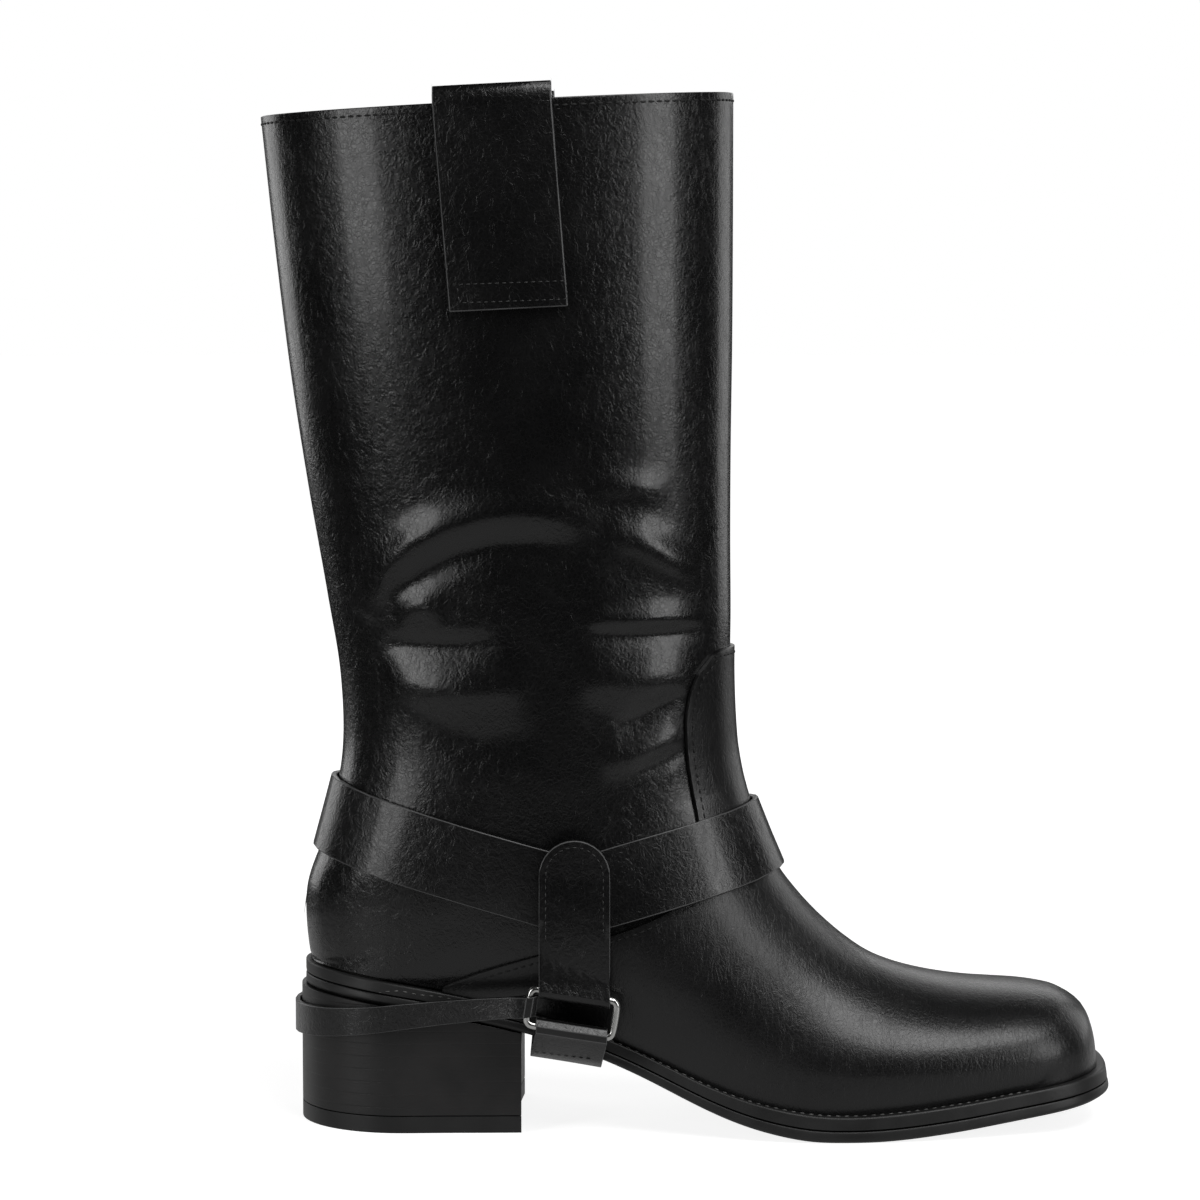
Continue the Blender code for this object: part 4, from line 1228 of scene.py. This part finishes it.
@dataclass
class Stitches:
    """Rows of thread on the leather.

    Args:
        form: the boot's outer surface.
        outline: the vamp's seam.
        tall: how high a stitch is, as an ellipsoid.
        lift: how far its middle stands off the leather, as a share of that.
        on_collar: thread of the collar's row.
        on_vamp: thread of the vamp's rows.
        on_tabs: thread of the pull tabs' and the side tabs' rows.
        on_heel_strap: thread across the heel strap's ends.
        on_arch_strap: thread across the arch strap's ends.
        on_welt: thread in the joint over the sole.
        collar_margin: distance of the row from the collar's edge.
        vamp_margin: distance of the row from the vamp's edge.
        shin_half: half the length of the row across the shin, in whole millimetres.
        welt_margin: distance of the row from the upper.
        welt_drop: how far over and under the upper's edge the sole's top is looked for.
        welt_top: the row stays lower than this.
        toe_from: place along the boot from which the row goes round the toe.
        beside: distance from the boot's middle at which rays to it start.
        box: corners of the box on a pull tab, along the boot and in height, in millimetres.
        box_round: reach of its rounded corners.
        tab_middle: middle of a side tab's row along the boot.
        tab_round: radius of its half circle.
        tab_shoulder: height at which the half circle starts.
        tab_end: height of the row's ends.
        heel_ends: row across the heel strap's end, in millimetres as for the box.
        arch_ends: row across the arch strap's end, in millimetres as for the box.
    """

    form: Form
    outline: Outline
    tall: float = 0.42 * MM
    lift: float = 0.12
    on_collar: Thread = Thread(2.9 * MM, 2.3 * MM, 0.90 * MM)
    on_vamp: Thread = Thread(2.7 * MM, 1.9 * MM, 0.66 * MM)
    on_tabs: Thread = Thread(2.3 * MM, 1.6 * MM)
    on_heel_strap: Thread = Thread(1.9 * MM, 1.4 * MM)
    on_arch_strap: Thread = Thread(2.4 * MM, 1.6 * MM)
    on_welt: Thread = Thread(2.9 * MM, 1.7 * MM)
    collar_margin: float = 2.6 * MM
    vamp_margin: float = 1.9 * MM
    shin_half: int = 22
    welt_margin: float = 2.1 * MM
    welt_drop: float = 6 * MM
    welt_top: float = 60 * MM
    toe_from: float = 200 * MM
    beside: float = 200 * MM
    box: tuple = ((17.6, 274), (17.4, 277), (52.0, 278.2), (52.4, 272.4), (18.0, 271.2), (17.6, 274))
    box_round: float = 1.6 * MM
    tab_middle: float = 54.4 * MM
    tab_round: float = 9.3 * MM
    tab_shoulder: float = 86.9 * MM
    tab_end: float = 66 * MM
    heel_ends: tuple = ((33, 42), (32.6, 50))
    arch_ends: tuple = ((41, 28.5), (62, 26))

    def row(self, bm: bmesh.types.BMesh, path: list, thread: Thread) -> None:
        """Lays stitches along a path.

        Args:
            bm: the mesh that takes them.
            path: pairs of a point on the leather and the direction out of it.
            thread: how the row is sewn.
        """
        travelled, wanted = 0.0, thread.pitch / 2
        for (a, out), (b, _) in zip(path, path[1:]):
            span = (b - a).length
            while span > 0 and wanted <= travelled + span:
                middle = a + (b - a) * ((wanted - travelled) / span)
                along = (b - a).normalized()
                across = out.cross(along).normalized()
                up = along.cross(across).normalized()
                turn = Matrix((along, across, up)).transposed().to_4x4()
                scale = Matrix.Diagonal((thread.length / 2, thread.thick / 2, self.tall / 2, 1.0))
                place = Matrix.Translation(middle + up * self.tall * self.lift) @ turn @ scale
                bmesh.ops.create_uvsphere(bm, u_segments=6, v_segments=5, radius=1.0, matrix=place)
                wanted += thread.pitch
            travelled += span

    def laid(self, tree: BVHTree, flat: list, side: Side) -> list:
        """A path seen from the side, laid on a surface.

        Args:
            tree: the surface.
            flat: places as pairs of length along the boot and height, in metres.
            side: the side of the boot that it lies on.

        Returns:
            Pairs of point and normal.
        """
        found = []
        for (xa, za), (xb, zb) in zip(flat, flat[1:]):
            parts = max(1, round(math.hypot(xb - xa, zb - za) / MM))
            for k in range(parts):
                x, z = xa + (xb - xa) * k / parts, za + (zb - za) * k / parts
                start = Vector((x, side.value * self.beside, z))
                hit = tree.ray_cast(start, Vector((0, -side.value, 0)))
                if hit[0]:
                    out = hit[1] if hit[1].y * side.value > 0 else -hit[1]
                    found.append((hit[0], out))
        return found

    def build(self) -> None:
        """Sews every row."""
        for name, method, finish in (
            ("collar_stitches", self.collar, THREAD),
            ("vamp_stitches", self.vamp, THREAD),
            ("tab_stitches", self.tabs, TAB_THREAD),
            ("welt_stitches", self.welt, WELT_THREAD),
        ):
            bm = bmesh.new()
            method(bm)
            keep(name, bm, finish, sharp=80.0)

    def collar(self, bm: bmesh.types.BMesh) -> None:
        """One row round the folded top edge.

        Args:
            bm: the mesh that takes the stitches.
        """
        points = self.form.points(Upper.round_steps, Upper.leg_step, Upper.foot_steps)
        ways = self.form.normals(points)
        below = points[1] - points[0]
        below /= np.linalg.norm(below, axis=1, keepdims=True)
        line = points[0] + below * self.collar_margin
        self.row(bm, [(Vector(p), Vector(n)) for p, n in zip(line, ways[0])], self.on_collar)

    def vamp(self, bm: bmesh.types.BMesh) -> None:
        """A row along the vamp's seam on each side, and across the shin.

        Args:
            bm: the mesh that takes the stitches.
        """
        tree = surface(bpy.data.objects["vamp_cover"])
        line = self.outline.line[1:-1]
        ways = np.gradient(line, axis=0)
        inwards = np.stack([-ways[:, 1], ways[:, 0]], axis=1)
        inwards /= np.linalg.norm(inwards, axis=1, keepdims=True)
        line = line + inwards * self.vamp_margin
        for side in Side:
            self.row(bm, self.laid(tree, [tuple(p) for p in line[3:]], side), self.on_vamp)
        top, found = line[1][1], []
        for k in range(-self.shin_half, self.shin_half + 1):
            hit = tree.ray_cast(Vector((self.beside, k * MM, top)), Vector((-1, 0, 0)))
            if hit[0]:
                found.append((hit[0], hit[1] if hit[1].x > 0 else -hit[1]))
        self.row(bm, found, self.on_vamp)

    def tabs(self, bm: bmesh.types.BMesh) -> None:
        """The box on each pull tab, the side tabs' edge, and the straps' ends.

        Args:
            bm: the mesh that takes the stitches.
        """
        box = rounded_path([(x * MM, z * MM) for x, z in self.box], self.box_round)
        parts = 12
        turns = [math.pi * k / parts for k in range(parts + 1)]
        middle, size = self.tab_middle, self.tab_round
        arc = [(middle - size * math.cos(a), self.tab_shoulder + size * math.sin(a)) for a in turns]
        edge = [(middle - size, self.tab_end), *arc, (middle + size, self.tab_end)]
        heel_ends = [(x * MM, z * MM) for x, z in self.heel_ends]
        arch_ends = [(x * MM, z * MM) for x, z in self.arch_ends]
        for side in Side:
            word = side.name.lower()
            for node, path, thread in (
                (f"pull_tab_{word}", box, self.on_tabs),
                (f"side_tab_{word}", edge, self.on_tabs),
                ("heel_strap", heel_ends, self.on_heel_strap),
                ("arch_strap", arch_ends, self.on_arch_strap),
            ):
                tree = surface(bpy.data.objects[node + "_leather"])
                self.row(bm, self.laid(tree, path, side), thread)

    def welt(self, bm: bmesh.types.BMesh) -> None:
        """Light stitches in the joint between the upper and the sole.

        Args:
            bm: the mesh that takes the stitches.
        """
        tree = surface(bpy.data.objects["welt_and_midsole"])
        points = self.form.points(Upper.round_steps, Upper.leg_step, Upper.foot_steps)
        for column, side in ((0, Side.OUTER), (-1, Side.INNER)):
            found = []
            line = points[:, column]
            ways = np.gradient(line, axis=0)
            for place, way in zip(line, ways):
                if place[2] > self.welt_top:
                    continue
                out = Vector((way[1], -way[0], 0)).normalized()
                if out.y * side.value < 0 and abs(place[0]) < self.toe_from:
                    out = -out
                start = Vector(place) + out * self.welt_margin + Vector((0, 0, self.welt_drop))
                hit = tree.ray_cast(start, Vector((0, 0, -1)), 2 * self.welt_drop)
                if hit[0]:
                    found.append((hit[0], Vector((0, 0, 1))))
            if len(found) > 1:
                self.row(bm, found, self.on_welt)


@dataclass(frozen=True)
class UprightBox:
    """An upright soft light that faces the boot.

    Args:
        name: the light's name.
        azimuth: degrees round the boot, 0 at the camera and 90 at the toe's side.
        low: height of its lower edge in metres.
        high: height of its upper edge in metres.
        wide: width in metres.
        power: watts.
    """

    name: str
    azimuth: float
    low: float
    high: float
    wide: float
    power: float


@dataclass(frozen=True)
class Panel:
    """A soft light at any place.

    Args:
        name: the light's name.
        place: its middle, in metres.
        way: the direction from what it lights to it.
        wide: width in metres.
        tall: height in metres.
        power: watts.
    """

    name: str
    place: tuple
    way: tuple
    wide: float
    tall: float
    power: float


BOXES = (
    UprightBox("left_box", azimuth=-50, low=0.08, high=1.2, wide=0.50, power=6.5),
    UprightBox("right_box", azimuth=57, low=0.08, high=1.2, wide=0.48, power=6.2),
    UprightBox("back_left_box", azimuth=-128, low=0.0, high=1.1, wide=0.8, power=4.4),
    UprightBox("back_right_box", azimuth=130, low=0.0, high=1.1, wide=0.8, power=2.9),
)
PANELS = (
    Panel("rim_box", place=(0.08, 1.32, 0.60), way=(0, 0.86, 0.51), wide=1.5, tall=0.45, power=3.0),
    Panel("toe_box", place=(0.56, -0.56, 1.20), way=(0.38, -0.40, 0.83), wide=0.9, tall=0.65, power=9.0),
)


@dataclass
class Studio:
    """Pale floor, soft lights and the camera.

    Args:
        distance: how far the camera stands in front of the boot, in metres.
        height: height of the camera, in metres.
        across: place of the camera along the boot.
        pitch: degrees by which it looks down.
        focal_pixels: focal length in pixels of the picture.
        picture: pixels along each side of the picture.
        sensor: width of the camera's sensor in millimetres.
        light_distance: how far the upright lights stand from the boot's middle, in metres.
        middle: place of the boot's middle along the boot.
        fill: strength of the light from all round.
        floor_radius: radius of the floor in metres.
        floor_pale: grey of the floor near the boot.
        pale_from: distance from the boot where the floor starts to turn white.
        pale_to: distance where it is white.
        table: radius in metres of the pale table that the leather mirrors.
        table_glow: strength of its light.
        table_drop: how far it lies under the floor.
    """

    distance: float = 1.3
    height: float = 0.29
    across: float = 62.67 * MM
    pitch: float = 5.171
    focal_pixels: float = 3940.0
    picture: int = 1200
    sensor: float = 36.0
    light_distance: float = 1.6
    middle: float = 50 * MM
    fill: float = 0.02
    floor_radius: float = 9.0
    floor_pale: float = 0.86
    pale_from: float = 0.2
    pale_to: float = 1.6
    table: float = 0.42
    table_glow: float = 0.34
    table_drop: float = 1 * MM

    def camera(self) -> None:
        """Creates the camera at the photograph's angle."""
        data = bpy.data.cameras.new("camera")
        data.sensor_width = self.sensor
        data.lens = self.focal_pixels / self.picture * self.sensor
        data.clip_start, data.clip_end = 0.05, 50.0
        made = bpy.data.objects.new("camera", data)
        made.location = (self.across, -self.distance, self.height)
        made.rotation_euler = (math.radians(90 - self.pitch), 0, 0)
        bpy.context.scene.collection.objects.link(made)
        bpy.context.scene.camera = made

    def box(self, light: UprightBox) -> None:
        """Hangs an upright light round the boot.

        Args:
            light: its place, size and power.
        """
        a = math.radians(light.azimuth)
        way = Vector((math.sin(a), -math.cos(a), 0))
        place = Vector((self.middle, 0.0, (light.low + light.high) / 2)) + way * self.light_distance
        self.panel(Panel(light.name, place, way, light.wide, light.high - light.low, light.power))

    def panel(self, light: Panel) -> None:
        """Hangs a light.

        Args:
            light: its place, size and power.
        """
        data = bpy.data.lights.new(light.name, "AREA")
        data.shape = "RECTANGLE"
        data.size, data.size_y, data.energy = light.wide, light.tall, light.power
        made = bpy.data.objects.new(light.name, data)
        made.location = light.place
        made.rotation_euler = Vector(light.way).to_track_quat("Z", "Y").to_euler()
        bpy.context.scene.collection.objects.link(made)

    def build(self) -> None:
        """Makes the whole studio."""
        self.camera()
        for box in BOXES:
            self.box(box)
        for panel in PANELS:
            self.panel(panel)
        self.surroundings()
        self.floor()
        self.glow()

    def surroundings(self) -> None:
        """A white background for the camera, and a faint light from all round for the rest."""
        scene = bpy.context.scene
        scene.view_settings.view_transform = "Standard"
        world = bpy.data.worlds.new("studio")
        scene.world = world
        world.use_nodes = True
        tree = world.node_tree
        ground = tree.nodes["Background"]
        ground.inputs["Color"].default_value = (1, 1, 1, 1)
        ground.inputs["Strength"].default_value = self.fill
        white = tree.nodes.new("ShaderNodeBackground")
        white.inputs["Color"].default_value = (1, 1, 1, 1)
        white.inputs["Strength"].default_value = 1.0
        path = tree.nodes.new("ShaderNodeLightPath")
        mix = tree.nodes.new("ShaderNodeMixShader")
        tree.links.new(path.outputs["Is Camera Ray"], mix.inputs[0])
        tree.links.new(ground.outputs[0], mix.inputs[1])
        tree.links.new(white.outputs[0], mix.inputs[2])
        tree.links.new(mix.outputs[0], tree.nodes["World Output"].inputs["Surface"])

    def floor(self) -> None:
        """A plain pale floor that melts into the background."""
        bm = bmesh.new()
        bmesh.ops.create_circle(bm, cap_ends=True, segments=96, radius=self.floor_radius)
        mesh = bpy.data.meshes.new("floor")
        bm.to_mesh(mesh)
        bm.free()
        s = Shader("floor_white")
        away = s.node("ShaderNodeVectorMath", {"operation": "LENGTH"}, {0: s.place()})[1]
        s.feed("Base Color", (0.5, 0.5, 0.5, 1.0))
        s.feed("Roughness", 0.9)
        white = away.between(self.pale_from, self.pale_to)
        s.feed("Emission Color", s.mixed(white, (self.floor_pale,) * 3, (1.0, 1.0, 1.0)))
        s.feed("Emission Strength", 1.0)
        mesh.materials.append(s.material)
        floor = bpy.data.objects.new("floor", mesh)
        bpy.context.scene.collection.objects.link(floor)
        floor.visible_glossy = False
        floor.visible_diffuse = False

    def glow(self) -> None:
        """The pale table's own light, which the leather mirrors. The camera doesn't see it."""
        bm = bmesh.new()
        bmesh.ops.create_circle(bm, cap_ends=True, segments=64, radius=self.table)
        bmesh.ops.translate(bm, verts=bm.verts, vec=(self.middle, 0, -self.table_drop))
        mesh = bpy.data.meshes.new("table_glow")
        bm.to_mesh(mesh)
        bm.free()
        s = Shader("table_glow")
        s.feed("Base Color", (0.0, 0.0, 0.0, 1.0))
        s.feed("Emission Color", (1.0, 1.0, 1.0, 1.0))
        s.feed("Emission Strength", self.table_glow)
        mesh.materials.append(s.material)
        glow = bpy.data.objects.new("table_glow", mesh)
        bpy.context.scene.collection.objects.link(glow)
        glow.visible_camera = False
        glow.visible_shadow = False


def main() -> None:
    """Builds the boot and its studio."""
    logging.basicConfig(level=logging.INFO, format="%(message)s")
    Studio().build()
    form, outline = Form(), Outline()
    Upper(form, outline).build()
    Harness().build()
    PullTabs().build()
    Bottom().build()
    Stitches(form, outline).build()


if __name__ == "__main__":
    main()
